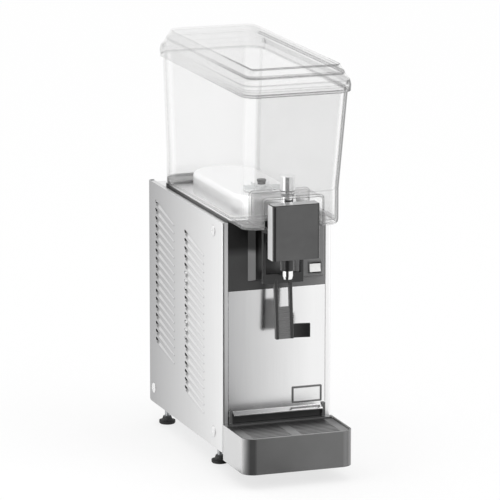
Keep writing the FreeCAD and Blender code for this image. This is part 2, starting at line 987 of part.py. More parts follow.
def badge_plate():
    """Small bare plate with a raised rim at the lower right of the front."""
    body = new_body("badge_plate")
    right = half_body - d.badge_margin
    left = right - d.badge_width
    low, high = d.badge_low, d.badge_low + d.badge_height
    outline = Drawing(body, "XZ", front_y)
    outline.box(left, right, low, high, d.badge_rim)
    pad(body, outline, d.badge_gauge, -1)
    field = Drawing(body, "XZ", front_y - d.badge_gauge)
    rim = d.badge_rim
    field.box(left + rim, right - rim, low + rim, high - rim)
    pocket(body, field, d.badge_gauge / 2, 1)
    return body


def switch_housing():
    """Snap-in housing of the rocker switch, with its rim on the fascia."""
    body = new_body("switch_housing")
    half_w, half_h, rim = d.switch_width / 2, d.switch_height / 2, d.switch_rim
    x, z = switch_x, d.switch_z
    flange = Drawing(body, "XZ", boss_face)
    flange.box(x - half_w, x + half_w, z - half_h, z + half_h, 1)
    pad(body, flange, d.switch_proud, -1)
    shell = Drawing(body, "XZ", boss_face)
    tight_w, tight_h = half_w - rim / 2 - d.sheet_fit, half_h - rim / 2 - d.sheet_fit
    shell.box(x - tight_w, x + tight_w, z - tight_h, z + tight_h)
    pad(body, shell, d.switch_depth, 1)
    well = Drawing(body, "XZ", boss_face - d.switch_proud)
    well.box(x - half_w + rim, x + half_w - rim, z - half_h + rim, z + half_h - rim)
    pocket(body, well, d.switch_depth / 2 + d.switch_proud, 1)
    axle = Drawing(body, "YZ", x - half_w + rim - 0.5)
    axle.circle(boss_face + d.rocker_axle, z, 1.2)
    pad(body, axle, d.switch_width - rim * 2 + 1, 1)
    return body


def switch_rocker():
    """Rocker with its upper half pressed in."""
    body = new_body("switch_rocker")
    z = d.switch_z
    reach = d.switch_height / 2 - d.switch_rim - 2
    face = boss_face - d.switch_proud
    side = Drawing(body, "YZ", switch_x)
    side.polygon(
        [
            (face, z + reach),
            (face, z),
            (face - 1.6, z - reach),
            (boss_face + 4, z - reach + 1),
            (boss_face + 8, z - 2),
            (boss_face + 8, z + 2),
            (boss_face + 4, z + reach - 1),
        ]
    )
    side.circle(boss_face + d.rocker_axle, z, 1.25)
    pad(body, side, d.switch_width - d.switch_rim * 2 - d.rocker_gap * 2, 0)
    return body


def levelling_foot(label, x, y):
    """Pad moulded on a stud that screws up into the base."""
    body = new_body(label)
    profile = Drawing(body, "XZ", 0)
    profile.polygon(
        [
            (0, 0),
            (d.foot_radius - 1.5, 0),
            (d.foot_radius, 1.5),
            (d.foot_radius, d.foot_disc),
            (d.collar_low_radius, d.foot_shoulder),
            (d.collar_high_radius, d.foot_collar),
            (d.stud_radius, d.foot_collar),
            (d.stud_radius, d.stud_top),
            (0, d.stud_top),
        ]
    )
    revolve(body, profile)
    place(body, x, y, 0)
    return body


def foot_nuts():
    """Four nuts on the pan that the studs turn in, as one group."""
    body = new_body("foot_nuts")
    across = d.nut_size / 2
    corner = across / cosine(Size(30, "30"))
    nuts = Drawing(body, "XY", pan_top)
    for x in (-foot_x, foot_x):
        for y in (foot_front_y, foot_rear_y):
            nuts.polygon(
                [
                    (x + corner, y),
                    (x + corner / 2, y + across),
                    (x - corner / 2, y + across),
                    (x - corner, y),
                    (x - corner / 2, y - across),
                    (x + corner / 2, y - across),
                ]
            )
            nuts.circle(x, y, d.stud_radius + d.stud_fit)
    feature = pad(body, nuts, d.nut_height)
    feature.AllowMultiFace = True
    body.AllowCompound = True
    return body


def panel_screws():
    """Domed screws of the side panels and small ones of the rear panel, as one group."""
    group = doc.addObject("Part::Feature", "panel_screws")
    head, rise = d.screw_head.value, d.screw_rise.value
    shank, depth = d.screw_shank.value, d.screw_depth.value

    def screw(radius, height):
        edge = height * 0.25
        crown = height - edge
        sphere = (radius**2 + crown**2) / (2 * crown)
        halfway = height - sphere + math.sqrt(sphere**2 - radius**2 / 4)
        dome = Part.Arc(V(radius, 0, edge), V(radius / 2, 0, halfway), V(0, 0, height))
        outline = Part.Wire(
            [
                Part.LineSegment(V(0, 0, -depth), V(shank, 0, -depth)).toShape(),
                Part.LineSegment(V(shank, 0, -depth), V(shank, 0, 0)).toShape(),
                Part.LineSegment(V(shank, 0, 0), V(radius, 0, 0)).toShape(),
                Part.LineSegment(V(radius, 0, 0), V(radius, 0, edge)).toShape(),
                dome.toShape(),
                Part.LineSegment(V(0, 0, height), V(0, 0, -depth)).toShape(),
            ]
        )
        solid = Part.Face(outline).revolve(V(0, 0, 0), V(0, 0, 1), 360)
        return solid if solid.Volume > 0 else solid.reversed()

    big, small = screw(head, rise), screw(d.rear_screw_head.value, rise * 0.7)
    solids = []
    for side in (-1, 1):
        turn = FreeCAD.Rotation(V(0, 1, 0), 90 * side)
        for y, z in screw_spots():
            spot = V(half_body.value * side, y.value, z.value)
            solids.append(big.transformed(FreeCAD.Placement(spot, turn).toMatrix()))
    for x, z in rear_screw_spots():
        spot = FreeCAD.Placement(V(x.value, rear_face.value, z.value), ALONG_Y)
        solids.append(small.transformed(spot.toMatrix()))
    group.Shape = Part.Compound(solids)
    return group


def tray_bracket():
    """Steel tongue from the base that the tray slides onto."""
    body = new_body("tray_bracket")
    outline = Drawing(body, "XY", pan_top)
    half = d.tongue_half
    radii = [6, 6, None, None]
    outline.box(-half, half, front_y - d.tongue_reach, front_y + d.tongue_inside, radii)
    pad(body, outline, d.tongue_gauge)
    return body


def drip_tray():
    """Dark moulded tray with round front corners, a ledge for the grate and two hanging ears."""
    body = new_body("drip_tray")
    radius, wall = d.tray_radius, d.tray_wall
    radii = [radius, radius, 3, 3]

    def outline(z, inset, rear_inset):
        drawing = Drawing(body, "XY", z)
        inner = [radius - inset, radius - inset, 3, 3] if inset.value > 0 else radii
        side = half_body - inset
        drawing.box(-side, side, tray_front + inset, tray_rear - rear_inset, inner)
        return drawing

    none = as_size(0)
    pad(body, outline(d.tray_low, none, none), d.tray_high - d.tray_low)
    floor_low = pan_top + d.tongue_gauge + d.tongue_fit
    floor_top = floor_low + d.tray_floor
    seat = d.tray_high - d.grate_sink - d.grate_gauge
    inset = wall + d.tray_ledge
    shelf = d.tray_shelf + wall
    pocket(body, outline(d.tray_high, wall, shelf), d.tray_high - seat, -1)
    pocket(body, outline(seat, inset, shelf + d.tray_ledge), seat - floor_top, -1)
    pocket(body, outline(d.tray_low, wall, wall), floor_low - d.tray_low, 1)
    mouth = Drawing(body, "XZ", tray_rear)
    wide = d.tongue_half + d.tongue_fit * 2
    mouth.box(-wide, wide, d.tray_low, floor_low)
    pocket(body, mouth, wall * 2, -1)
    for side in (-1, 1):
        ear = Drawing(body, "XZ", tray_rear)
        outer, inner = half_body - d.ear_inset, half_body - d.ear_inset - d.ear_width
        left, right = (inner, outer) if side == 1 else (-outer, -inner)
        ear.box(left, right, seat, d.ear_top)
        pad(body, ear, wall, -1)
        peg = Drawing(body, "XZ", tray_rear - wall / 2)
        peg.circle(peg_x * side, d.peg_z, d.peg_radius)
        pad(body, peg, d.peg_length + wall / 2, 1)
    return body


def drip_grate():
    """Loose slotted plate that lies on the tray's ledge."""
    body = new_body("drip_grate")
    inset = d.tray_wall + d.grate_fit
    seat = d.tray_high - d.grate_sink - d.grate_gauge
    back = tray_rear - d.tray_shelf - d.tray_wall - d.grate_fit
    front = tray_front + inset
    half = half_body - inset
    radius = d.tray_radius - inset
    outline = Drawing(body, "XY", seat)
    outline.box(-half, half, front, back, [radius, radius, 3, 3])
    pad(body, outline, d.grate_gauge)
    slot = Drawing(body, "XY", seat)
    first = front + d.grate_bar + d.grate_slot
    slot_half = d.grate_slot / 2
    length = half - d.grate_bar * 1.6
    for left, right in ((-length, -d.grate_centre_bar), (d.grate_centre_bar, length)):
        slot.box(left, right, first - slot_half, first + slot_half)
    cut = pocket(body, slot, d.grate_gauge * 2, 1)
    row_of(body, [cut], slot, "V_Axis", d.grate_pitch * (d.grate_count - 1), d.grate_count)
    return body


def tank_section(body, z, half, front, back, shrink=0):
    """One level of the tank: a rectangle with smaller front corners and larger rear ones."""
    drawing = Drawing(body, "XY", z)
    front_r, back_r = d.front_radius - shrink, d.back_radius - shrink
    drawing.box(-half, half, front, back, [front_r, front_r, back_r, back_r])
    return drawing


def bowl():
    """Clear tank that leans out over the front, with a recess in its nose for the valve."""
    body = new_body("bowl")
    wall = d.tank_wall
    tuck = d.tank_tuck
    mid_z = d.tank_foot + d.tank_round / 3
    low_z = d.tank_foot + d.tank_round
    mid_tuck = tuck * 0.3
    levels = [
        (d.tank_foot, tank_half_foot, tank_front_low + tuck, tank_back_low - tuck),
        (mid_z, tank_half_low - mid_tuck, tank_front_low + mid_tuck, tank_back_low - mid_tuck),
        (low_z, tank_half_low, tank_front_low, tank_back_low),
        (d.nose_top, tank_half_low, tank_front_low, tank_back_low),
        (d.tank_rim, tank_half_rim, tank_front_rim, tank_back_rim),
    ]
    loft(body, [tank_section(body, *level) for level in levels])
    rim = Drawing(body, "XY", d.tank_rim - d.rim_height)
    proud = d.rim_proud
    half, front, back = tank_half_rim + proud, tank_front_rim - proud, tank_back_rim + proud
    front_r, back_r = d.front_radius + proud, d.back_radius + proud
    rim.box(-half, half, front, back, [front_r, front_r, back_r, back_r])
    pad(body, rim, d.rim_height)
    hollow = []
    for index, (z, level_half, level_front, level_back) in enumerate(levels):
        if index == 1:
            continue
        lift = wall if index == 0 else as_size(0)
        over = as_size(1) if index == len(levels) - 1 else as_size(0)
        hollow.append(
            tank_section(
                body,
                z + lift + over,
                level_half - wall,
                level_front + wall,
                level_back - wall,
                wall,
            )
        )
    loft(body, hollow, cut=True)
    inner, shelf_top = d.recess_half + wall, d.recess_top + wall
    recess_back = tank_front_low + d.recess_depth
    radius = d.recess_radius
    block = Drawing(body, "XZ", recess_back + wall)
    block.box(-inner, inner, d.tank_foot, shelf_top, [None, None, radius + wall, radius + wall])
    pad(body, block, d.recess_depth, -1)
    bay = Drawing(body, "XZ", recess_back)
    half_bay = d.recess_half
    bay.box(
        -half_bay, half_bay, d.tank_foot - wall, d.recess_top, [None, None, radius, radius]
    )
    pocket(body, bay, d.recess_depth + wall, -1)
    opening = Drawing(body, "XY", d.tank_foot)
    ring = d.floor_ring
    open_front = front_y + d.fascia_gauge + ring + wall
    side = tank_half_foot - ring
    opening.box(-side, side, open_front, tank_back_low - tuck - ring, 12)
    pocket(body, opening, wall * 1.5, 1)
    hole = Drawing(body, "XY", d.recess_top)
    hole.circle(0, valve_y, d.shelf_hole)
    pocket(body, hole, wall * 2, 1)
    return body


def bowl_gasket():
    """Black ring between the tank's foot and the deck."""
    body = new_body("bowl_gasket")
    tuck = d.tank_tuck
    half = tank_half_foot + 0.5
    front = front_y + d.fascia_gauge + d.panel_gap
    back = tank_back_low - tuck + 0.5
    wide = d.gasket_width
    inside = tank_half_low - 0.3
    outside = inside + d.collar_wall
    rear = tank_back_low - 0.3
    radii = [None, None, d.back_radius + d.collar_wall, d.back_radius + d.collar_wall]
    outline = Drawing(body, "XY", deck_top)
    outline.box(-outside, outside, front, rear + d.collar_wall, radii)
    outline.box(-half + wide, half - wide, front + wide, back - wide, [6, 6, 16, 16])
    pad(body, outline, d.tank_foot - deck_top)
    collar = Drawing(body, "XY", d.tank_foot)
    collar.box(-outside, outside, front, rear + d.collar_wall, radii)
    collar.box(-inside, inside, front + 1, rear, [None, None, d.back_radius, d.back_radius])
    pad(body, collar, d.collar_height)
    gate = Drawing(body, "XY", d.tank_foot)
    gate.box(-inside, inside, front - 1, front + 2)
    pocket(body, gate, d.collar_height, 1)
    return body


def lid():
    """Clear lid: a skirt round the tank's rim, a sloping shoulder and a flat top."""
    body = new_body("lid")
    over, wall = d.lid_overhang, d.lid_wall
    front, back = tank_front_rim - over, tank_back_rim + over

    def level(z, half, inset, shrink=0):
        drawing = Drawing(body, "XY", z)
        front_r, back_r = d.front_radius + over - shrink, d.back_radius + over - shrink
        drawing.box(-half, half, front + inset, back - inset, [front_r, front_r, back_r, back_r])
        return drawing

    def inner(z, inset):
        return level(z, lid_half - inset - wall, inset + wall, inset + wall)

    brow_in, shoulder_in, top_in = d.lid_brow_inset, d.lid_shoulder_inset, d.lid_top_inset
    step_in = shoulder_in + d.lid_step_inset
    none = as_size(0)
    loft(
        body,
        [
            level(lid_low, lid_half - 0.5, none + 0.5),
            level(lid_widest, lid_half, none),
            level(lid_brow, lid_half - brow_in, brow_in, brow_in),
            level(lid_shoulder, lid_half - shoulder_in, shoulder_in, shoulder_in),
            level(lid_step, lid_half - step_in, step_in, step_in),
            level(lid_top, lid_half - top_in, top_in, top_in),
        ],
    )
    seat = d.tank_rim + d.lid_seat_gap
    skirt = level(lid_low, lid_half - wall, wall, wall)
    pocket(body, skirt, seat - lid_low, 1)
    ledge_top = seat + d.lid_ledge
    ledge = wall + d.lid_ledge * 2
    loft(
        body,
        [
            level(seat - 0.5, lid_half - ledge, ledge, ledge),
            level(ledge_top, lid_half - ledge, ledge, ledge),
            inner(ledge_top + 4, brow_in),
            inner(lid_brow - wall / 2, brow_in),
            inner(lid_shoulder - wall, shoulder_in),
            inner(lid_step - wall, step_in),
            inner(lid_top - wall, top_in),
        ],
        cut=True,
    )
    return body


def evaporator():
    """Stainless dome that stands up into the tank, soldered to the coil below."""
    body = new_body("evaporator")
    wall = d.dome_wall
    flange_low = deck_low - wall
    flange = capsule(Drawing(body, "XY", flange_low), d.dome_radius + d.dome_flange)
    pad(body, flange, wall)
    dome = capsule(Drawing(body, "XY", flange_low), d.dome_radius)
    pad(body, dome, d.dome_top - flange_low)
    cavity = capsule(Drawing(body, "XY", flange_low), d.dome_radius - wall)
    pocket(body, cavity, d.dome_top - wall - flange_low, 1)
    edge_fillet(body, d.dome_edge - wall, at_height(d.dome_top - wall))
    edge_fillet(body, d.dome_edge, at_height(d.dome_top))
    return body


def bent_path(points, bends):
    """A line through the points with a tangent arc at each inner one."""
    edges = []
    start = points[0]
    for i in range(1, len(points) - 1):
        bend = bends[i - 1] if isinstance(bends, (list, tuple)) else bends
        corner = points[i]
        back = (points[i - 1] - corner).normalize()
        ahead = (points[i + 1] - corner).normalize()
        half = back.getAngle(ahead) / 2
        reach = bend / math.tan(half)
        centre = corner + (back + ahead).normalize() * (bend / math.sin(half))
        first, last = corner + back * reach, corner + ahead * reach
        middle = centre + (corner - centre).normalize() * bend
        edges.append(Part.LineSegment(start, first).toShape())
        edges.append(Part.Arc(first, middle, last).toShape())
        start = last
    edges.append(Part.LineSegment(start, points[-1]).toShape())
    return Part.Wire(edges)


def pipe(label, points, bend, radius):
    """Copper pipe through the points, with the bends a tube bender leaves."""
    path = bent_path(points, bend)
    ahead = (points[1] - points[0]).normalize()
    ring = Part.Wire(Part.Circle(points[0], ahead, radius).toShape())
    thing = doc.addObject("Part::Feature", label)
    thing.Shape = path.makePipeShell([ring], True, False)
    return thing


def evaporator_coil():
    """Copper coil under the dome, with both ends turned down through the foam."""
    side = (d.dome_radius - d.coil_inset).value
    top = (d.dome_top - d.dome_wall - d.coil_radius).value - 0.2
    low = (deck_low - d.foam_depth).value
    back, front = dome_back_y.value, dome_front_y.value
    points = [
        V(-side, back, low),
        V(-side, back, top),
        V(-side, front - side, top),
        V(side, front - side, top),
        V(side, back, top),
        V(side, back, low),
    ]
    bends = [16, side - 0.05, side - 0.05, 16]
    return pipe("evaporator_coil", points, bends, d.coil_radius.value)


def motor_bracket():
    """Steel strip under the cold plate's flange that carries the agitator motor."""
    body = new_body("motor_bracket")
    top = deck_low - d.dome_wall
    outline = Drawing(body, "XY", top - d.bracket_gauge)
    half = d.dome_radius + d.dome_flange
    depth = d.agitator_motor_radius
    outline.box(-half, half, dome_front_y - depth, dome_front_y + depth)
    outline.circle(0, dome_front_y, d.neck_radius + d.neck_fit)
    pad(body, outline, d.bracket_gauge)
    return body


def agitator_motor():
    """Small geared motor hung under the bracket, with its neck through it."""
    body = new_body("agitator_motor")
    top = deck_low - d.dome_wall - d.bracket_gauge
    low = top - d.agitator_motor_height
    profile = Drawing(body, "XZ", dome_front_y)
    bore = d.shaft_radius + d.pin_fit
    profile.polygon(
        [
            (0, low),
            (d.agitator_motor_radius - 3, low),
            (d.agitator_motor_radius, low + 3),
            (d.agitator_motor_radius, top),
            (d.neck_radius, top),
            (d.neck_radius, top + d.neck_height),
            (bore, top + d.neck_height),
            (bore, low + 10),
            (0, low + 10),
        ]
    )
    revolve(body, profile)
    return body


def drive_magnet():
    """Magnet disc on the motor's shaft, just under the dome."""
    body = new_body("drive_magnet")
    high = d.dome_top - d.dome_wall - d.magnet_gap
    low = high - d.magnet_height
    shaft_low = deck_low - d.dome_wall - d.bracket_gauge - d.agitator_motor_height + 12
    profile = Drawing(body, "XZ", dome_front_y)
    profile.polygon(
        [
            (0, shaft_low),
            (d.shaft_radius, shaft_low),
            (d.shaft_radius, low - 5),
            (d.hub_radius, low - 5),
            (d.hub_radius, low),
            (d.magnet_radius, low),
            (d.magnet_radius, high),
            (0, high),
        ]
    )
    revolve(body, profile)
    flats = Drawing(body, "XY", high)
    edge = d.magnet_radius
    flats.box(edge - 2, edge + 2, dome_front_y - edge, dome_front_y + edge)
    flats.box(-edge - 2, -edge + 2, dome_front_y - edge, dome_front_y + edge)
    pocket(body, flats, d.magnet_height, -1)
    return body


def agitator():
    """White impeller that spins on the dome: a disc with six curved-back vanes and a hub."""
    body = new_body("agitator")
    low = d.impeller_lift
    profile = Drawing(body, "XZ", 0)
    top = low + d.impeller_disc
    hub_top = top + d.vane_height
    profile.polygon(
        [
            (0, low),
            (d.impeller_radius, low),
            (d.impeller_radius, top),
            (d.hub_radius, top),
            (d.hub_radius, hub_top - 2),
            (d.hub_radius - 2, hub_top),
            (0, hub_top),
        ]
    )
    revolve(body, profile)
    vane = Drawing(body, "XY", top)
    gauge = d.vane_gauge / 2
    tip = d.impeller_radius - 1
    vane.polygon(
        [
            (d.hub_radius - 2, -gauge),
            (tip * 0.6, -gauge - 2),
            (tip, -gauge - 7),
            (tip, gauge - 7),
            (tip * 0.6, gauge - 2),
            (d.hub_radius - 2, gauge),
        ]
    )
    blade = pad(body, vane, d.vane_height - 1)
    ring_of(body, [blade], vane, d.vane_count)
    place(body, 0, dome_front_y, d.dome_top)
    return body


def agitator_cap():
    """Dark grip knob on the impeller's hub."""
    body = new_body("agitator_cap")
    low = d.impeller_lift + d.impeller_disc + d.vane_height
    profile = Drawing(body, "XZ", 0)
    high = low + d.cap_height
    profile.polygon(
        [
            (0, low),
            (d.cap_radius - 1, low),
            (d.cap_radius - 1, high - 4),
            (d.cap_radius, high - 3),
            (d.cap_radius, high - 1),
            (d.cap_radius - 1, high),
            (0, high),
        ]
    )
    revolve(body, profile)
    place(body, 0, dome_front_y, d.dome_top)
    return body


def insulation():
    """Foam slab under the deck, bored for the motor and the coil's ends."""
    body = new_body("insulation")
    top = deck_low - d.dome_wall - d.bracket_gauge
    low = deck_low - d.foam_depth
    outline = Drawing(body, "XY", low)
    half = inner_half - d.foam_side
    outline.box(-half, half, front_y + d.fascia_gauge + 4, rear_y - d.foam_rear)
    outline.circle(0, dome_front_y, d.agitator_motor_radius + 2)
    side = d.dome_radius - d.coil_inset
    for x in (-side, side):
        outline.circle(x, dome_back_y, d.coil_radius + 0.3)
    pad(body, outline, top - low)
    return body


def valve_body():
    """Steel tube with its seat in the tank and its spout below, slotted for the link pin."""
    body = new_body("valve_body")
    shelf_top = d.recess_top + d.tank_wall
    seat_low = shelf_top + d.seat_gasket
    seat_high = seat_low + d.seat_height
    clamp_low = d.recess_top - d.clamp_height
    taper = d.spout_taper
    profile = Drawing(body, "XZ", valve_y)
    profile.polygon(
        [
            (d.tube_bore, d.spout_tip),
            (d.tube_radius - taper, d.spout_tip),
            (d.tube_radius, d.spout_tip + taper * 3),
            (d.tube_radius, clamp_low),
            (d.clamp_radius, clamp_low),
            (d.clamp_radius, d.recess_top),
            (d.tube_radius, d.recess_top),
            (d.tube_radius, seat_low),
            (d.seat_radius, seat_low),
            (d.seat_radius, seat_high),
            (d.tube_bore, seat_high),
        ]
    )
    revolve(body, profile)
    slots = Drawing(body, "YZ", -d.tube_radius - 1)
    wide = d.link_radius + d.link_slack
    gap = d.link_radius + 0.5
    slots.box(valve_y - wide, valve_y + wide, d.pivot_z - gap, d.pivot_z + d.valve_lift + gap)
    pocket(body, slots, (d.tube_radius + 1) * 2, 1)
    return body


def valve_gasket():
    """Rubber ring that seals the valve's seat to the tank's shelf."""
    body = new_body("valve_gasket")
    shelf_top = d.recess_top + d.tank_wall
    ring = Drawing(body, "XY", shelf_top)
    ring.circle(0, valve_y, d.seat_radius - 0.5)
    ring.circle(0, valve_y, d.shelf_hole + 0.3)
    pad(body, ring, d.seat_gasket)
    return body


def valve_bracket():
    """Black bracket on the tube, with two ears that hold the lever's pin."""
    body = new_body("valve_bracket")
    ear_outer = d.yoke_inner - d.ear_gap
    ear_inner = ear_outer - d.ear_gauge
    front = front_y - d.cover_front + d.cover_wall
    back = valve_y + d.tube_radius + 3
    bridge = Drawing(body, "XY", bridge_low)
    bridge.box(-ear_outer, ear_outer, front, back, [2, 2, 6, 6])
    bridge.circle(0, valve_y, d.tube_radius + 0.1)
    pad(body, bridge, d.bridge_gauge)
    for x in (ear_inner, -ear_outer):
        ear = Drawing(body, "YZ", x)
        reach = d.ear_radius
        ear.polygon(
            [
                (pivot_y - reach, bridge_low + 1),
                (pivot_y - reach, d.pivot_z - reach, 5),
                (pivot_y + reach, d.pivot_z - reach, 5),
                (pivot_y + reach, bridge_low + 1),
            ]
        )
        pad(body, ear, d.ear_gauge, 1)
    bore = Drawing(body, "YZ", -ear_outer - 1)
    bore.circle(pivot_y, d.pivot_z, d.pivot_radius + 0.02)
    pocket(body, bore, (ear_outer + 1) * 2, 1)
    return body


def spout_sleeve():
    """Black sleeve round the tube above the spout's bright tip."""
    body = new_body("spout_sleeve")
    ring = Drawing(body, "XY", d.sleeve_low)
    ring.circle(0, valve_y, d.sleeve_radius)
    ring.circle(0, valve_y, d.tube_radius + 0.05)
    pad(body, ring, d.sleeve_high - d.sleeve_low)
    return body


def valve_cover():
    """Glossy black hood over the lever's pivot, open below and behind."""
    body = new_body("valve_cover")
    front = front_y - d.cover_front
    back = front + d.cover_depth
    wall, half = d.cover_wall, d.cover_half
    outline = Drawing(body, "XY", d.cover_low)
    outline.box(-half, half, front, back, [d.cover_radius, d.cover_radius, None, None])
    pad(body, outline, d.cover_high - d.cover_low)
    edge_fillet(
        body,
        d.cover_edge,
        lambda edge: at_height(d.cover_high)(edge) and edge.BoundBox.YMin < back.value - 0.5,
    )
    doc.recompute()
    inside = Drawing(body, "XY", d.cover_low)
    radius = d.cover_radius - wall
    inside.box(-half + wall, half - wall, front + wall, back + 1, [radius, radius, None, None])
    pocket(body, inside, d.cover_high - wall - d.cover_low, 1)
    return body


def lever_pin():
    """Steel pin through the bracket's ears that the lever turns on."""
    body = new_body("lever_pin")
    pin = Drawing(body, "YZ", 0)
    pin.circle(pivot_y, d.pivot_z, d.pivot_radius)
    pad(body, pin, (d.yoke_inner + d.yoke_width + 0.5) * 2, 0)
    return body


def lever():
    """Black push lever: a yoke astride the valve, two rails below it, a ribbed pad and a cup rest."""
    body = new_body("lever")
    half_depth, arm = d.rail_depth / 2, d.arm_height / 2
    knee_y, tip_y = pivot_y + d.knee_back, pivot_y + d.tip_back
    lean = (d.knee_back - d.tip_back) / (d.knee_z - d.tip_z)
    bar = Drawing(body, "YZ", 0)
    bar.box(knee_y - half_depth, knee_y + half_depth, d.yoke_low, d.yoke_low + d.yoke_bar)
    yoke_outer = d.yoke_inner + d.yoke_width
    pad(body, bar, yoke_outer * 2, 0)
    for x in (d.yoke_inner, -yoke_outer):
        cheek = Drawing(body, "YZ", x)
        cheek.polygon(
            [
                (pivot_y, d.pivot_z - arm),
                (knee_y - half_depth, d.pivot_z - arm, 3),
                (knee_y - half_depth, d.yoke_low),
                (knee_y + half_depth, d.yoke_low),
                (knee_y + half_depth, d.pivot_z + arm, 6),
                (pivot_y, d.pivot_z + arm),
            ]
        )
        pad(body, cheek, d.yoke_width, 1)
        boss = Drawing(body, "YZ", x)
        boss.circle(pivot_y, d.pivot_z, d.lever_boss)
        pad(body, boss, d.yoke_width, 1)
    for x in (d.rail_inner, -d.rail_inner - d.rail_width):
        rail = Drawing(body, "YZ", x)
        rail.polygon(
            [
                (knee_y - half_depth, d.knee_z),
                (tip_y - half_depth, d.tip_z),
                (tip_y + half_depth, d.tip_z),
                (knee_y + half_depth, d.knee_z),
            ]
        )
        pad(body, rail, d.rail_width, 1)
    pad_top_y = tip_y + lean * d.pad_height
    face = d.pad_recess - half_depth
    back_face = face + d.pad_depth
    grip = Drawing(body, "YZ", 0)
    grip.polygon(
        [
            (tip_y + face, d.tip_z),
            (tip_y + back_face, d.tip_z),
            (pad_top_y + back_face, d.tip_z + d.pad_height),
            (pad_top_y + face, d.tip_z + d.pad_height),
        ]
    )
    pad(body, grip, (d.rail_inner + d.rail_width / 2) * 2, 0)
    rest = Drawing(body, "XY", d.tip_z)
    centre_y = tip_y + half_depth - d.rest_radius
    rest.band(0, centre_y, d.rest_radius - d.rest_wall, d.rest_radius, d.rest_half)
    pad(body, rest, d.rest_height)
    for index in range(int(d.rib_count.value)):
        rise = d.rib_pitch * (index + 0.5)
        rib_y = tip_y + lean * rise + face
        rib = Drawing(body, "YZ", 0)
        rib.polygon(
            [
                (rib_y + 1, d.tip_z + rise),
                (rib_y + 1, d.tip_z + rise + d.rib_height),
                (rib_y - d.rib_proud, d.tip_z + rise + d.rib_height * 0.8),
                (rib_y - d.rib_proud, d.tip_z + rise + d.rib_height * 0.2),
            ]
        )
        pad(body, rib, (d.rail_inner - 0.5) * 2, 0)
    bores = Drawing(body, "YZ", -yoke_outer - 1)
    bores.circle(pivot_y, d.pivot_z, d.pivot_radius + d.pin_fit)
    bores.circle(valve_y, d.pivot_z, d.link_radius + 0.02)
    pocket(body, bores, (yoke_outer + 1) * 2, 1)
    return body


def link_pin():
    """Cross pin of the lever that lifts the plunger's eye."""
    body = new_body("link_pin")
    pin = Drawing(body, "YZ", 0)
    pin.circle(valve_y, d.pivot_z, d.link_radius)
    pad(body, pin, (d.yoke_inner + d.yoke_width) * 2, 0)
    return body


def plunger():
    """Heavy steel plunger: the head closes the seat and the stem hangs down to the link pin."""
    body = new_body("plunger")
    shelf_top = d.recess_top + d.tank_wall
    seat_high = shelf_top + d.seat_gasket + d.seat_height
    low = seat_high + d.seal_height + 0.1
    high = low + d.head_height
    profile = Drawing(body, "XZ", valve_y)
    eye_low, eye_high = d.pivot_z - d.eye_height, d.pivot_z + d.eye_height
    edge = d.head_edge
    profile.polygon(
        [
            (0, eye_low),
            (d.eye_radius, eye_low),
            (d.eye_radius, eye_high),
            (d.stem_radius, eye_high + 2),
            (d.stem_radius, low),
            (d.head_radius, low),
            (d.head_radius, high - edge),
            (d.head_radius - edge, high),
            (0, high),
        ]
    )
    revolve(body, profile)
    slot = Drawing(body, "YZ", -d.eye_radius - 1)
    wide = d.link_radius + d.link_slack
    gap = d.link_radius + d.pin_fit
    slot.box(valve_y - wide, valve_y + wide, d.pivot_z - gap, d.pivot_z + gap)
    pocket(body, slot, (d.eye_radius + 1) * 2, 1)
    return body


def plunger_seal():
    """Rubber washer under the plunger's head."""
    body = new_body("plunger_seal")
    seat_high = d.recess_top + d.tank_wall + d.seat_gasket + d.seat_height
    ring = Drawing(body, "XY", seat_high + 0.1)
    ring.circle(0, valve_y, d.head_radius - d.seal_inset)
    ring.circle(0, valve_y, d.stem_radius + 0.02)
    pad(body, ring, d.seal_height)
    return body


def compressor():
    """Hermetic pot with a weld seam, on a sole plate."""
    body = new_body("compressor")
    radius, cap = d.compressor_radius, d.compressor_cap
    low = as_size(0)
    high = d.compressor_height
    seam = high / 2
    profile = Drawing(body, "XZ", 0)
    profile.polygon(
        [
            (0, low),
            (radius, low, cap),
            (radius, seam - d.seam_height / 2),
            (radius + d.seam_proud, seam - d.seam_height / 2),
            (radius + d.seam_proud, seam + d.seam_height / 2),
            (radius, seam + d.seam_height / 2),
            (radius, high, cap),
            (0, high),
        ]
    )
    revolve(body, profile)
    sole = Drawing(body, "XY", 0)
    sole.box(-sole_half, sole_half, -d.sole_half_depth, d.sole_half_depth, 8)
    pad(body, sole, d.sole_gauge)
    stubs = Drawing(body, "XY", high - cap)
    for side in (-1, 1):
        stubs.circle(d.stub_side * side, -d.stub_side / 3, d.stub_radius)
    pad(body, stubs, cap + d.stub_height)
    place(body, 0, rear_y - d.compressor_back, pan_top + d.mount_height)
    return body


def compressor_mounts():
    """Four rubber mounts under the compressor's sole."""
    body = new_body("compressor_mounts")
    rings = Drawing(body, "XY", pan_top)
    x, y = sole_half - d.mount_radius - 3, d.sole_half_depth - d.mount_radius - 3
    for side in (-1, 1):
        for end in (-1, 1):
            rings.circle(x * side, rear_y - d.compressor_back + y * end, d.mount_radius)
    feature = pad(body, rings, d.mount_height)
    feature.AllowMultiFace = True
    body.AllowCompound = True
    return body


def terminal_cover():
    """Black cover over the compressor's terminals."""
    body = new_body("terminal_cover")
    low = pan_top + d.mount_height + d.compressor_height / 2 + d.seam_height
    outline = Drawing(body, "XY", low)
    y = rear_y - d.compressor_back
    reach = d.compressor_radius
    outline.polygon(
        [
            (-reach - 14, y - 20, 4),
            (-reach + 2, y - 20),
            (-reach + 2, y + 20),
            (-reach - 14, y + 20, 4),
        ]
    )
    outline_feature = pad(body, outline, 30)
    outline_feature.Label = "terminal_cover_block"
    clearance = Drawing(body, "XY", low)
    clearance.circle(0, y, reach + 0.1)
    pocket(body, clearance, 30, 1)
    return body


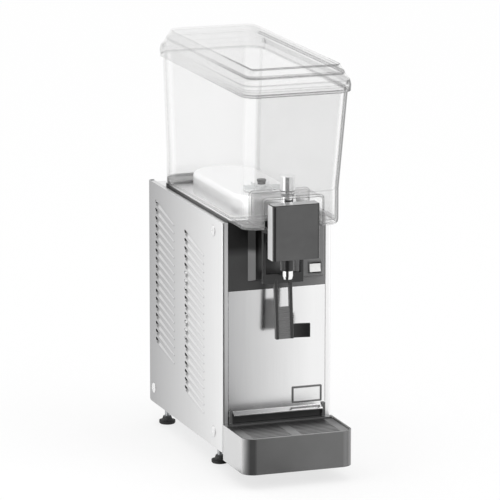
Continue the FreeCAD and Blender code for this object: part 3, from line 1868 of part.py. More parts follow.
def condenser():
    """Fin block between two end plates that stand on the pan."""
    body = new_body("condenser")
    front = kick_back + d.condenser_front
    back = front + d.condenser_depth
    half, high = condenser_half, pan_top + d.condenser_height
    core = Drawing(body, "XY", pan_top + 8)
    core.box(-half, half, front, back)
    pad(body, core, d.condenser_height - 14)
    for x in (-half - d.end_plate, half):
        plate = Drawing(body, "YZ", x)
        plate.box(front - 2, back + 2, pan_top, high)
        pad(body, plate, d.end_plate, 1)
    groove = Drawing(body, "XZ", front)
    first = -half + 3
    low = pan_top + 16
    groove.box(first, first + d.fin_groove, low, high - 14)
    grooves_front = pocket(body, groove, d.condenser_depth / 2 - 2, 1)
    rear_groove = Drawing(body, "XZ", back)
    rear_groove.box(first, first + d.fin_groove, low, high - 14)
    grooves_back = pocket(body, rear_groove, d.condenser_depth / 2 - 2, -1)
    length = d.fin_pitch * (d.fin_count - 1)
    row_of(body, [grooves_front, grooves_back], groove, "H_Axis", length, d.fin_count)
    return body


fan_plane = kick_back + d.condenser_front + d.condenser_depth + 2


def fan_shroud():
    """Plate behind the condenser with a short duct round the fan."""
    body = new_body("fan_shroud")
    gauge = d.shroud_gauge
    half = condenser_half + d.end_plate
    outline = Drawing(body, "XZ", fan_plane)
    outline.box(-half, half, pan_top, pan_top + d.condenser_height)
    outline.circle(0, d.fan_z, fan_radius + d.fan_gap)
    pad(body, outline, gauge, 1)
    ring = Drawing(body, "XZ", fan_plane)
    ring.circle(0, d.fan_z, fan_radius + d.fan_gap + d.ring_wall)
    ring.circle(0, d.fan_z, fan_radius + d.fan_gap)
    pad(body, ring, d.ring_depth, 1)
    return body


def fan_blades():
    """Pressed fan with five twisted blades on a hub."""
    body = new_body("fan_blades")
    depth = d.fan_hub_depth
    profile = Drawing(body, "XZ", 0)
    profile.polygon(
        [
            (d.fan_shaft + d.pin_fit, 0),
            (d.fan_hub, 0),
            (d.fan_hub, depth - 3),
            (d.fan_hub - 3, depth),
            (d.fan_shaft + d.pin_fit, depth),
        ]
    )
    revolve(body, profile)
    root = Drawing(body, "YZ", d.fan_hub - 3)
    root.polygon([(-9, 2), (-8, 1), (9, 13), (8, 14)])
    tip = Drawing(body, "YZ", fan_radius - 6)
    tip.polygon([(-22, 4), (-21.4, 3), (20, 13), (19.4, 14)])
    blade = loft(body, [root, tip])
    spin = Drawing(body, "XY", 0)
    spin.circle(0, 0, d.fan_hub - 4)
    hub_plug = pad(body, spin, 1)
    hub_plug.Label = "fan_back_plate"
    bore = Drawing(body, "XY", 0)
    bore.circle(0, 0, d.fan_shaft + d.pin_fit)
    pocket(body, bore, depth, 1)
    ring_of(body, [blade], spin, d.fan_blades)
    place(body, 0, fan_plane + 3, d.fan_z, ALONG_Y)
    return body


def fan_motor():
    """Fan motor with its shaft forward, on a bent stand screwed to the pan."""
    body = new_body("fan_motor")
    shaft_front = fan_plane + 5
    face = fan_plane + 3 + d.fan_hub_depth + 4
    back = face + d.fan_motor_depth
    shaft = Drawing(body, "XZ", face + 2)
    shaft.circle(0, d.fan_z, d.fan_shaft)
    pad(body, shaft, face + 2 - shaft_front, -1)
    can = Drawing(body, "XZ", face)
    can.circle(0, d.fan_z, d.fan_motor_radius)
    pad(body, can, d.fan_motor_depth, 1)
    side = Drawing(body, "YZ", 0)
    gauge = d.bracket_gauge
    side.polygon(
        [
            (back - 0.5, pan_top),
            (back + d.stand_foot, pan_top),
            (back + d.stand_foot, pan_top + gauge),
            (back + gauge, pan_top + gauge),
            (back + gauge, d.fan_z + d.stand_half),
            (back - 0.5, d.fan_z + d.stand_half),
        ]
    )
    pad(body, side, d.stand_half * 2, 0)
    return body


stub_y = rear_y - d.compressor_back - d.stub_side / 3
stub_top = pan_top + d.mount_height + d.compressor_height + d.stub_height
condenser_mid = kick_back + d.condenser_front + d.condenser_depth / 2
condenser_top = pan_top + d.condenser_height - 6


def discharge_pipe():
    """Hot gas pipe from the compressor over to the top of the condenser."""
    top, over = stub_top.value, (stub_top + d.pipe_loop).value
    x, y = d.stub_side.value, stub_y.value
    side, end = condenser_half.value - 8, condenser_mid.value
    points = [
        V(x, y, top),
        V(x, y, over),
        V(side, y - d.pipe_loop.value, over),
        V(side, end, over),
        V(side, end, condenser_top.value),
    ]
    return pipe("discharge_pipe", points, d.pipe_bend.value, d.pipe_radius.value)


def suction_pipe():
    """Cold gas pipe from the coil's left end down to the compressor."""
    side = (d.dome_radius - d.coil_inset).value
    high = (deck_low - d.foam_depth).value
    bend_z = high - d.suction_drop.value
    y = dome_back_y.value
    points = [
        V(-side, y, high),
        V(-side, y, bend_z),
        V(-d.stub_side.value, stub_y.value, bend_z - d.suction_slope.value),
        V(-d.stub_side.value, stub_y.value, stub_top.value),
    ]
    return pipe("suction_pipe", points, d.pipe_bend.value * 2, d.coil_radius.value)


drier_x = inner_half - d.drier_inset
drier_y = condenser_mid + d.drier_back
drier_z = pan_top + d.drier_rise


def filter_drier():
    """Copper filter drier in the liquid line, with necked ends."""
    body = new_body("filter_drier")
    radius, length = d.drier_radius, d.drier_length
    neck = d.pipe_radius + 0.5
    profile = Drawing(body, "XZ", 0)
    profile.polygon(
        [
            (0, 0),
            (neck, 0),
            (neck, 6),
            (radius, 14),
            (radius, length - 14),
            (neck, length - 6),
            (neck, length),
            (0, length),
        ]
    )
    revolve(body, profile)
    place(body, drier_x, drier_y, drier_z, ALONG_Y)
    return body


def liquid_line():
    """Liquid line from the condenser to the drier and on to the coil's right end."""
    x, y, z = drier_x.value, drier_y.value, drier_z.value
    side = (d.dome_radius - d.coil_inset).value
    high = (deck_low - d.foam_depth).value
    start = condenser_half.value + d.end_plate.value
    bend, radius = d.pipe_bend.value, d.pipe_radius.value
    first = [
        V(start, condenser_mid.value, z),
        V(x, condenser_mid.value, z),
        V(x, y, z),
    ]
    length, neck = d.drier_length.value, d.line_neck.value
    back = dome_back_y.value
    second = [
        V(x, y + length, z),
        V(x, y + length + neck, z),
        V(x, y + length + neck, high - d.line_drop.value),
        V(side, back, high - neck),
        V(side, back, high),
    ]
    ahead = pipe("liquid_line", first, min(bend, x - start) * 0.8, radius)
    onward = pipe("liquid_line_rear", second, bend, radius)
    ahead.Shape = Part.Compound([ahead.Shape, onward.Shape])
    doc.removeObject(onward.Name)
    return ahead


def electrical_box():
    """Wiring box on the right wall."""
    body = new_body("electrical_box")
    outline = Drawing(body, "XZ", front_y + d.box_front)
    right = half_body - d.panel_gauge
    low, high = d.box_low, d.box_low + d.box_height
    outline.box(right - d.box_width, right, low, high, [3, None, None, 3])
    pad(body, outline, d.box_length, 1)
    rib = Drawing(body, "YZ", right - d.box_width + 1)
    start = front_y + d.box_front
    rib.box(start - 1.5, start + d.box_length + 1.5, low - 1.5, high + 1.5, 2)
    pad(body, rib, 3, 1)
    return body


def thermostat():
    """Thermostat behind the rear panel, with its spindle bore."""
    body = new_body("thermostat")
    half_w, half_h = d.thermostat_width / 2, d.thermostat_height / 2
    outline = Drawing(body, "XZ", rear_inner)
    x, z = d.knob_x, d.knob_z
    outline.box(x - half_w, x + half_w, z - half_h, z + half_h, 3)
    pad(body, outline, d.thermostat_depth, -1)
    bore = Drawing(body, "XZ", rear_inner)
    bore.circle(x, z, d.spindle_radius + d.spindle_fit)
    pocket(body, bore, 14, -1)
    return body


def thermostat_knob():
    """Ribbed knob and its spindle, turned about Y."""
    body = new_body("thermostat_knob")
    radius, depth = d.knob_radius, d.knob_depth
    profile = Drawing(body, "XZ", 0)
    stand_off = 0.4
    inside = d.panel_gauge + 12
    profile.polygon(
        [
            (0, -inside),
            (d.spindle_radius, -inside),
            (d.spindle_radius, stand_off),
            (radius, stand_off),
            (radius, stand_off + 3),
            (radius - 2, depth),
            (0, depth),
        ]
    )
    revolve(body, profile)
    grip = Drawing(body, "XY", depth - 4)
    grip.box(-3, 3, -radius + 3, radius - 3)
    bar = pad(body, grip, 6)
    bar.Label = "thermostat_knob_grip"
    place(body, d.knob_x, knob_y, d.knob_z, ALONG_Y)
    return body


def cord_gland():
    """Strain relief bush in the rear panel, ready for a cord."""
    body = new_body("cord_gland")
    profile = Drawing(body, "XZ", 0)
    hole, radius = d.gland_hole, d.gland_radius
    inside = d.panel_gauge + 8
    profile.polygon(
        [
            (hole / 2, -inside),
            (radius - 1.2, -inside),
            (radius - 1.2, 0),
            (radius + 1, 0),
            (radius + 1, 3),
            (hole / 2 + 2.5, d.gland_proud),
            (hole / 2, d.gland_proud),
        ]
    )
    revolve(body, profile)
    place(body, d.gland_x, rear_face, d.gland_z, ALONG_Y)
    return body


left_panel = side_panel_left()
parts = [
    left_panel,
    side_panel_right(left_panel),
    front_panel(),
    kick_panel(),
    rear_panel(),
    base_pan(),
    deck(),
    fascia(),
    badge_plate(),
    switch_housing(),
    switch_rocker(),
    levelling_foot("foot_front_left", -foot_x, foot_front_y),
    levelling_foot("foot_front_right", foot_x, foot_front_y),
    levelling_foot("foot_rear_left", -foot_x, foot_rear_y),
    levelling_foot("foot_rear_right", foot_x, foot_rear_y),
    foot_nuts(),
    panel_screws(),
    tray_bracket(),
    drip_tray(),
    drip_grate(),
    bowl(),
    bowl_gasket(),
    lid(),
    evaporator(),
    evaporator_coil(),
    motor_bracket(),
    agitator_motor(),
    drive_magnet(),
    agitator(),
    agitator_cap(),
    insulation(),
    valve_body(),
    valve_gasket(),
    valve_bracket(),
    spout_sleeve(),
    valve_cover(),
    lever_pin(),
    lever(),
    link_pin(),
    plunger(),
    plunger_seal(),
    compressor(),
    compressor_mounts(),
    terminal_cover(),
    condenser(),
    fan_shroud(),
    fan_blades(),
    fan_motor(),
    discharge_pipe(),
    suction_pipe(),
    filter_drier(),
    liquid_line(),
    electrical_box(),
    thermostat(),
    thermostat_knob(),
    cord_gland(),
]
doc.recompute()

for thing in doc.Objects:
    if "Invalid" in thing.State or "Error" in thing.State:
        raise RuntimeError(f"{thing.Label} did not compute: {thing.State}")
for part in parts:
    if part.Shape.isNull() or not part.Shape.isValid():
        raise RuntimeError(f"{part.Label} has no valid shape")

os.makedirs("parts", exist_ok=True)
for part in parts:
    part.Shape.exportStep(f"parts/{part.Label}.step")
print(f"{len(parts)} sub-parts written")
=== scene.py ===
import math

import bmesh
import bpy
from mathutils import Matrix, Vector


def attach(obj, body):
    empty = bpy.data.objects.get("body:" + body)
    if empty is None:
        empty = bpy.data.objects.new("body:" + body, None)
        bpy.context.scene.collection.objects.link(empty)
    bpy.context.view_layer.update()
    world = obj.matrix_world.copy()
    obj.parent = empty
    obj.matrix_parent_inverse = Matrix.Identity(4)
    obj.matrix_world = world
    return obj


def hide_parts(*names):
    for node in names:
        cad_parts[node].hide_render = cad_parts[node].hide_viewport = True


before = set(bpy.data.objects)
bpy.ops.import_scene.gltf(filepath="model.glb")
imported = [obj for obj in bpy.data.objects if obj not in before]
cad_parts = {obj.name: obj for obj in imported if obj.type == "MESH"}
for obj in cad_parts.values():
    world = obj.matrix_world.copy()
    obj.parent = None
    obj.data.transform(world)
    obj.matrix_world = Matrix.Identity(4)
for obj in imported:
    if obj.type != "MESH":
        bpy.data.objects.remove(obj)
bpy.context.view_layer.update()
scene = bpy.context.scene

# Studio. A pale floor runs on behind the machine and soft daylight comes from all round, with a
# large softbox at the front right, a narrow one low at the front left and one overhead. Behind the
# camera the room is darker, which bright metal and black gloss show as a soft dark band.
scene.view_settings.view_transform = "Standard"


class Wire:
    """A shader socket that can be used in arithmetic: each operator adds its Math node."""

    def __init__(self, tree, socket=None):
        self.tree, self.socket = tree, socket

    def node(self, kind, settings=None, inputs=None, out=0):
        made = self.tree.nodes.new(kind)
        for name, value in (settings or {}).items():
            setattr(made, name, value)
        for name, value in (inputs or {}).items():
            if isinstance(value, Wire):
                self.tree.links.new(value.socket, made.inputs[name])
            else:
                made.inputs[name].default_value = value
        return Wire(self.tree, made.outputs[out] if made.outputs else None)

    def math(self, operation, *values):
        return self.node("ShaderNodeMath", {"operation": operation}, dict(enumerate(values)))

    def __add__(self, other):
        return self.math("ADD", self, other)

    __radd__ = __add__

    def __sub__(self, other):
        return self.math("SUBTRACT", self, other)

    def __rsub__(self, other):
        return self.math("SUBTRACT", other, self)

    def __mul__(self, other):
        return self.math("MULTIPLY", self, other)

    __rmul__ = __mul__

    def __neg__(self):
        return self * -1.0

    def __abs__(self):
        return self.math("ABSOLUTE", self)

    def at_most(self, limit):
        return self.math("MINIMUM", self, limit)

    def or_more(self, other):
        return self.math("MAXIMUM", self, other)

    def between(self, low, high, start=0.0, end=1.0):
        """0 below low, 1 above high, and a ramp from one to the other, sent to start..end."""
        sockets = {0: self, 1: low, 2: high, 3: start, 4: end}
        return self.node("ShaderNodeMapRange", {"clamp": True}, sockets)

    def tint(self, low, high):
        """The colour low where this is 0 and high where it is 1."""
        sockets = {0: self, 6: low, 7: high}
        return self.node("ShaderNodeMix", {"data_type": "RGBA"}, sockets, out=2)

    def vector(self, operation, other=None, out="Vector"):
        sockets = {0: self} if other is None else {0: self, 1: other}
        return self.node("ShaderNodeVectorMath", {"operation": operation}, sockets, out=out)

    def stretched(self, x, y, z):
        """These coordinates, scaled along each axis."""
        return self.vector("MULTIPLY", (x, y, z))

    def noise(self, scale, detail=2.0, roughness=0.5):
        sockets = {"Vector": self, "Scale": scale, "Detail": detail, "Roughness": roughness}
        return self.node("ShaderNodeTexNoise", {}, sockets)

    def cells(self, scale, out=0):
        return self.node("ShaderNodeTexVoronoi", {}, {"Vector": self, "Scale": scale}, out=out)

    def part(self, axis):
        """One coordinate out of three: 0, 1 or 2."""
        return self.node("ShaderNodeSeparateXYZ", {}, {0: self}, out=axis)

    def facing_axis(self, x, y, z):
        """How squarely the surface faces this direction, from -1 to 1."""
        outward = self.node("ShaderNodeNewGeometry", out="Normal")
        return outward.vector("DOT_PRODUCT", (x, y, z), out="Value")

    def creases(self, radius, low, high):
        """1 along edges and folds sharper than this radius, 0 on the open surface."""
        outward = self.node("ShaderNodeNewGeometry", out="Normal")
        eased = self.node("ShaderNodeBevel", {"samples": 6}, {"Radius": radius})
        along = outward.vector("DOT_PRODUCT", eased, out="Value")
        return (1.0 - abs(along)).between(low, high)

    def relief(self, depth, strength=1.0, round_edge=0.0):
        """A normal from this height; round_edge makes the edges catch light as if rounded."""
        sockets = {"Height": self, "Distance": depth, "Strength": strength}
        if round_edge:
            sockets["Normal"] = self.node("ShaderNodeBevel", {"samples": 4}, {"Radius": round_edge})
        return self.node("ShaderNodeBump", {}, sockets)


def new_material(name):
    """An empty material, and a wire that carries its object coordinates in metres."""
    material = bpy.data.materials.new(name)
    material.use_nodes = True
    material.node_tree.nodes.clear()
    start = Wire(material.node_tree)
    return material, start.node("ShaderNodeTexCoord", out="Object")


def finish_with(material, shader):
    Wire(material.node_tree).node("ShaderNodeOutputMaterial", {}, {"Surface": shader})
    return material


def surface(material, **inputs):
    """Closes a material with one principled shader; underscores in names stand for spaces."""
    named = {name.replace("_", " "): value for name, value in inputs.items()}
    shader = Wire(material.node_tree).node("ShaderNodeBsdfPrincipled", {}, named)
    return finish_with(material, shader)


def grey(level):
    return (level, level, level, 1)


def mirror_and_straight(start):
    """Two wires: 1 for mirror-like rays, and 1 for rays that go straight on from the camera."""
    path = start.node("ShaderNodeLightPath")
    camera, mirror, through = (
        Wire(start.tree, path.socket.node.outputs[name])
        for name in ("Is Camera Ray", "Is Glossy Ray", "Is Transmission Ray")
    )
    return mirror, camera.or_more(through)


def dark_end(toward):
    """1 for directions that point at the dark end of the room, where the camera stands."""
    middle = (-0.337, -0.9415, 0)
    zone_edge, zone_full = 0.87, 0.93
    level = toward.stretched(1, 1, 0).vector("NORMALIZE")
    return level.vector("DOT_PRODUCT", middle, out="Value").between(zone_edge, zone_full)


floor_paper, at = new_material("floor_paper")
grain = at.noise(180.0, 3.0)
fibres = grain.between(0.3, 0.7).tint(grey(0.93), grey(0.95))
paper = at.node("ShaderNodeBsdfDiffuse", {}, {"Color": fibres})
mirror, straight = mirror_and_straight(at)
dark_zone = mirror * dark_end(at)
glow = {"Color": dark_zone.tint(grey(1.0), grey(0.03)), "Strength": 1.0}
seen = at.node("ShaderNodeEmission", {}, glow)
white_near, white_far = 0.72, 0.98
shadow_ends, open_begins = 0.3, 0.9
distance = at.vector("LENGTH", out="Value")
whiteness = distance.between(shadow_ends, open_begins, white_near, white_far)
shown_white = (straight * whiteness).or_more(mirror * white_near) + dark_zone * (1 - white_near)
blend = {0: shown_white, 1: paper, 2: seen}
finish_with(floor_paper, at.node("ShaderNodeMixShader", {}, blend))
reach = 9.0
corners = [(-reach, -reach, 0), (reach, -reach, 0), (reach, reach, 0), (-reach, reach, 0)]
mesh = bpy.data.meshes.new("floor")
mesh.from_pydata(corners, [], [(0, 1, 2, 3)])
floor = bpy.data.objects.new("floor", mesh)
floor.data.materials.append(floor_paper)
scene.collection.objects.link(floor)

world = bpy.data.worlds.new("studio")
world.use_nodes = True
world.node_tree.nodes.clear()
sky = Wire(world.node_tree)
toward = sky.node("ShaderNodeTexCoord", out="Generated")
horizon, zenith = grey(0.5), grey(0.75)
daylight = toward.part(2).between(-0.1, 0.9).tint(horizon, zenith)
mirror, straight = mirror_and_straight(sky)
room = (mirror * dark_end(toward)).tint(grey(1.0), grey(0.25))
backdrop = (straight + mirror).at_most(1.0).tint(daylight, room)
light = sky.node("ShaderNodeBackground", {}, {"Color": backdrop, "Strength": 1.0})
sky.node("ShaderNodeOutputWorld", {}, {"Surface": light})
scene.world = world


def softbox(name, place, aim, size, power):
    """A rectangular area light that the camera doesn't see: metres and watts."""
    data = bpy.data.lights.new(name, "AREA")
    data.shape, data.size, data.size_y, data.energy = "RECTANGLE", size[0], size[1], power
    made = bpy.data.objects.new(name, data)
    made.location = place
    made.rotation_euler = (Vector(aim) - Vector(place)).to_track_quat("-Z", "Y").to_euler()
    made.visible_camera = False
    scene.collection.objects.link(made)


softbox("key_softbox", place=(2.3, -2.1, 1.5), aim=(0, 0, 0.3), size=(3.6, 2.8), power=46)
softbox("top_softbox", place=(-0.5, 0.4, 2.8), aim=(0, 0, 0.3), size=(3.4, 3.4), power=32)
softbox("left_strip", place=(-1.3, -0.6, 0.45), aim=(0, -0.1, 0.25), size=(0.4, 0.85), power=2.6)

# Camera. A long lens from the front left and a little above, as the photograph has it. Its
# direction and focal length were fitted to the edges of the cabinet.
turn, lift = math.radians(-19.69), math.radians(12.47)
camera_distance, focal_length, sensor_width = 7.0723, 316.3, 36.0
aim_right, aim_up = 0.00095, 0.0306
right = Vector((math.cos(turn), math.sin(turn), 0))
back = Vector((math.sin(turn) * math.cos(lift), -math.cos(turn) * math.cos(lift), math.sin(lift)))
up = back.cross(right)
camera = bpy.data.objects.new("camera", bpy.data.cameras.new("camera"))
camera.data.sensor_width = sensor_width
camera.data.lens = focal_length
camera.data.clip_end = 40.0
aim = Vector((0, 0, 0.3)) + right * aim_right + up * aim_up
facing = Matrix((right, up, back)).transposed().to_4x4()
camera.matrix_world = Matrix.Translation(aim + back * camera_distance) @ facing
scene.collection.objects.link(camera)
scene.camera = camera


# Feet. A black rubber pad is moulded round the foot of a zinc-plated steel stud, which screws up
# through a nut on the base pan; the stud's thread shows above the pad.
def dress(material, *nodes):
    """Gives CAD nodes this material in all their slots."""
    for name in nodes:
        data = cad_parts[name].data
        data.materials.clear()
        data.materials.append(material)


def rubber(name, tone):
    """Dull black rubber with a little pale dust on it."""
    black, at = new_material(name)
    grain = at.noise(700.0, 3.0)
    dust = at.noise(40.0, 2.0)
    return surface(
        black,
        Base_Color=dust.between(0.4, 0.8).tint(grey(tone), grey(tone * 1.8)),
        Roughness=grain.between(0.2, 0.8, 0.6, 0.8),
        Normal=grain.relief(0.0001, 0.4, 0.0006),
    )


def foot_finish():
    """Black rubber up to the pad's top, and above it a threaded zinc-plated stud."""
    foot, at = new_material("foot_rubber_and_stud")
    pad_top, collar_low, collar_high, pitch = 0.013, 0.0058, 0.0072, 0.00125
    height = at.part(2)
    stud = height.between(pad_top - 0.0001, pad_top + 0.0001)
    collar = height.between(collar_low, collar_high)
    grain = at.noise(700.0, 3.0)
    turns = height * (1 / pitch)
    thread = abs(turns.math("FRACT", turns) - 0.5) * stud
    pad = collar.tint(grey(0.012), grey(0.05))
    zinc = grain.tint((0.4, 0.41, 0.42, 1), (0.56, 0.57, 0.58, 1))
    return surface(
        foot,
        Base_Color=stud.tint(pad, zinc),
        Metallic=stud * 0.9,
        Roughness=grain.between(0.2, 0.8, 0.6, 0.75) - stud * 0.3,
        Normal=(thread + grain * 0.1).relief(0.0006, 0.7, 0.0005),
    )


dress(foot_finish(), "foot_front_left", "foot_front_right", "foot_rear_left", "foot_rear_right")


# Base and back. The base pan, rear panel, fan shroud and brackets are folded or pressed from
# zinc-coated steel, and the foot nuts have the same coat. It is dull, and its crystals mottle it.
def zinc_sheet():
    zinc, at = new_material("zinc_sheet")
    flakes = at.cells(160.0, out="Color").part(0)
    clouds = at.noise(14.0, 3.0)
    mottle = flakes * 0.5 + clouds * 0.5
    return surface(
        zinc,
        Base_Color=mottle.tint((0.4, 0.41, 0.42, 1), (0.6, 0.61, 0.62, 1)),
        Metallic=0.85,
        Roughness=flakes.between(0, 1, 0.42, 0.55),
        Normal=flakes.relief(0.00003, 0.3, 0.0008),
    )


zinc = zinc_sheet()
dress(zinc, "base_pan", "rear_panel", "fan_shroud", "foot_nuts", "tray_bracket", "motor_bracket")


# Cooling machinery. A black painted compressor on rubber mounts, an aluminium condenser with its
# fan, copper pipe with a filter drier, and grey boxes for the wiring and the thermostat. A foam
# slab under the deck is bored for the motor that turns the impeller's magnet.
def black_moulding(name, tone, rough, sheen=0.0, turn_from=0.3):
    """Black plastic or paint. sheen is how much of the room it mirrors where seen edge on, and
    turn_from is how far it has to turn away before it does. The sheen is partly painted light: it
    stays full on faces turned front and left, where the light falls, and fades on faces turned
    right."""
    plastic, at = new_material(name)
    grain = at.noise(1400.0, 2.0)
    clouds = at.noise(22.0, 2.0)
    colour = clouds.between(0.3, 0.7).tint(grey(tone), grey(tone * 1.25))
    inputs = {
        "Base_Color": colour,
        "Roughness": rough + (grain - 0.5) * 0.12,
        "Normal": grain.relief(0.00006, 0.5, 0.0007),
    }
    if sheen:
        facing = at.node("ShaderNodeLayerWeight", {}, {"Blend": 0.5}, out="Facing")
        upright = 1.0 - abs(at.facing_axis(0, 0, 1))
        # Painted light: the sheen stays full on faces turned front and left, where the light falls,
        # and drops to a fifth on faces turned right.
        lit_side = at.facing_axis(1, 0, 0).between(0.4, 0.0, 0.2, 1.0)
        edge_on = facing.between(turn_from, turn_from + 0.5) * upright * lit_side * sheen
        inputs["Base_Color"] = edge_on.tint(colour, grey(0.9))
        inputs["Metallic"] = edge_on
    return surface(plastic, **inputs)


def pale_moulding(name, low, high, rough):
    """Light plastic or foam, clouded from one colour to the other."""
    plastic, at = new_material(name)
    grain = at.noise(900.0, 2.0)
    clouds = at.noise(30.0, 2.0)
    return surface(
        plastic,
        Base_Color=clouds.between(0.3, 0.7).tint(low, high),
        Roughness=rough + (grain - 0.5) * 0.1,
        Normal=grain.relief(0.00002, 0.3, 0.0006),
    )


def polished_steel(name, dark, pale, rough):
    """Bright metal with faint haze and hairlines."""
    steel, at = new_material(name)
    haze = at.noise(60.0, 3.0)
    hairlines = at.stretched(1, 1, 12).noise(500.0, 2.0)
    return surface(
        steel,
        Base_Color=haze.tint(dark, pale),
        Metallic=1.0,
        Roughness=rough + haze * 0.06 + hairlines * 0.04,
        Normal=hairlines.relief(0.00001, 0.3, 0.0005),
    )


def copper_tube():
    copper, at = new_material("copper_tube")
    tarnish = at.noise(55.0, 4.0)
    fresh, brown = (0.74, 0.4, 0.26, 1), (0.5, 0.25, 0.15, 1)
    return surface(
        copper,
        Base_Color=tarnish.between(0.35, 0.7).tint(fresh, brown),
        Metallic=1.0,
        Roughness=tarnish.between(0.3, 0.8, 0.22, 0.45),
        Normal=tarnish.relief(0.00005, 0.3),
    )


dress(black_moulding("compressor_paint", 0.02, 0.3), "compressor")
black_rubber = rubber("black_rubber", 0.022)
dress(black_rubber, "compressor_mounts")
dress(black_moulding("motor_paint", 0.09, 0.4), "agitator_motor", "fan_motor")
copper = copper_tube()
dress(copper, "discharge_pipe", "liquid_line", "filter_drier", "evaporator_coil", "suction_pipe")
aluminium = polished_steel("plain_aluminium", (0.6, 0.61, 0.62, 1), (0.75, 0.76, 0.77, 1), 0.32)
dress(aluminium, "condenser", "fan_blades")
box_grey = pale_moulding("box_grey", (0.2, 0.205, 0.21, 1), (0.26, 0.265, 0.27, 1), 0.45)
dress(box_grey, "electrical_box", "thermostat")
dress(pale_moulding("foam", (0.8, 0.74, 0.55, 1), (0.88, 0.83, 0.66, 1), 0.8), "insulation")


# Cabinet. Two side panels, the front panel and the deck are folded from brushed stainless sheet,
# with its grain upright, and front to back on the deck. Each side panel has two columns of pressed
# louvres, and a narrow return round its front edge.
def louvre_shade(at, tilt):
    """Shade in the louvres: the hollows, undersides and mouths, and the sheet's inner face."""
    column_ends, mouth_long, mouth_soft = (0.04575, 0.19325), 0.015, 0.007
    hood_low, hood_high = 0.385, 0.39
    hollow = at.node("ShaderNodeAmbientOcclusion", {"samples": 8}, {"Distance": 0.008}, out="AO")
    run = at.part(1)
    ends = [
        run.between(y - mouth_long, y - mouth_soft) * run.between(y, y - 0.001) for y in column_ends
    ]
    steep = abs(tilt).between(0.1, 0.3)
    mouth = (ends[0] + ends[1]) * steep * at.part(2).between(hood_high, hood_low)
    inside = (-(at.part(0) * at.facing_axis(1, 0, 0))).between(0.005, 0.02)
    underside = (-tilt).between(0.03, 0.4)
    return (1.0 - hollow) * 1.6 + underside * 0.6 + mouth * 0.75 + inside


def brushed_steel(name, grain, along, start, end, rough=0.3, louvred=False):
    """Stainless sheet: fine drawn grain, faint clouds, and painted light as a slow ramp in tone
    along one axis. Louvred sheet also gets a painted highlight on its hoods and painted shade in
    its louvres.
    """
    steel, at = new_material(name)
    lines = at.stretched(*grain).noise(700.0, 2.0, 0.6)
    broad = at.noise(7.0, 3.0)
    # Painted light: a slow ramp in tone along one axis, dark toward start and pale toward end, for
    # how the room's light falls on the sheet and reflects in it.
    painted_light_drift = at.part(along).between(start, end)
    if louvred:
        turned_in = (-at.facing_axis(0, 1, 0)).between(0.6, 0.8)
        # The return round the front edge gets its own ramp of painted light across, darker at the
        # left.
        return_dark, return_pale = -0.18, 0.06
        painted_light_drift = painted_light_drift + turned_in * (at.part(0).between(return_dark, return_pale) - painted_light_drift)
    tone = painted_light_drift + (lines - 0.5) * 0.14 + (broad - 0.5) * 0.16
    colour = tone.tint((0.36, 0.36, 0.365, 1), (0.88, 0.88, 0.88, 1))
    if louvred:
        tilt = at.facing_axis(0, 0, 1)
        shade = louvre_shade(at, tilt) * (1.0 - turned_in)
        # Painted highlight: the upward faces of the louvre hoods are made paler.
        colour = (tilt.between(0.03, 0.25) * 0.4).tint(colour, grey(0.95))
        # Painted shade in the louvres, as louvre_shade gives it.
        colour = shade.at_most(0.9).tint(colour, grey(0.1))
    return surface(
        steel,
        Base_Color=colour,
        Metallic=1.0,
        Roughness=rough + lines * 0.08 + (broad - 0.5) * 0.1,
        Normal=lines.relief(0.00003, 0.4, 0.0008),
    )


across, lengthwise = 0, 1
upright_grain, lengthwise_grain = (1, 1, 0.012), (1, 0.012, 1)
side_steel = brushed_steel("side_steel", upright_grain, lengthwise, 0.26, -0.12, louvred=True)
dress(side_steel, "side_panel_left", "side_panel_right")
dress(brushed_steel("front_steel", upright_grain, across, -0.12, 0.06, 0.13), "front_panel")
dress(brushed_steel("deck_steel", lengthwise_grain, lengthwise, 1.2, 0.0), "deck")


# Panel screws. Domed stainless heads with a cross recess, three in each side panel and four
# smaller ones in the rear panel, each turned a little differently by whoever drove it.
def cross_depth(x, y, twist, arm, half, deepest):
    """How deep the cross recess is at this point of a head, turned by this twist."""
    along = abs(x * math.cos(twist) + y * math.sin(twist))
    beside = abs(y * math.cos(twist) - x * math.sin(twist))
    into_slot = (half - min(along, beside)) / half
    from_tip = (arm - max(along, beside)) / (arm * 0.3)
    if into_slot <= 0 or from_tip <= 0:
        return 0
    return min(into_slot * 3, 1) * min(from_tip, 1) * deepest


def head_places():
    """Where each head sits, with its radius, its rise and its twist."""
    side_face, side_radius, side_rise = 0.092, 0.0085, 0.0026
    side_spots = [(-0.08725, 0.06), (-0.08725, 0.388), (0.21275, 0.06)]
    rear_face, rear_radius, rear_rise = 0.22175, 0.004, 0.0018
    inset, low, high = 0.0808, 0.0575, 0.3855
    rear_spots = [(-inset, low), (-inset, high), (inset, low), (inset, high)]
    heads = []
    for side in (-1, 1):
        for number, (y, z) in enumerate(side_spots):
            spot = Matrix.Translation((side_face * side, y, z))
            outward = Matrix.Rotation(math.radians(90 * side), 4, "Y")
            heads.append((spot @ outward, side_radius, side_rise, 0.5 + number + side))
    for number, (x, z) in enumerate(rear_spots):
        spot = Matrix.Translation((x, rear_face, z))
        outward = Matrix.Rotation(math.radians(-90), 4, "X")
        heads.append((spot @ outward, rear_radius, rear_rise, 0.8 + number * 1.7))
    return heads


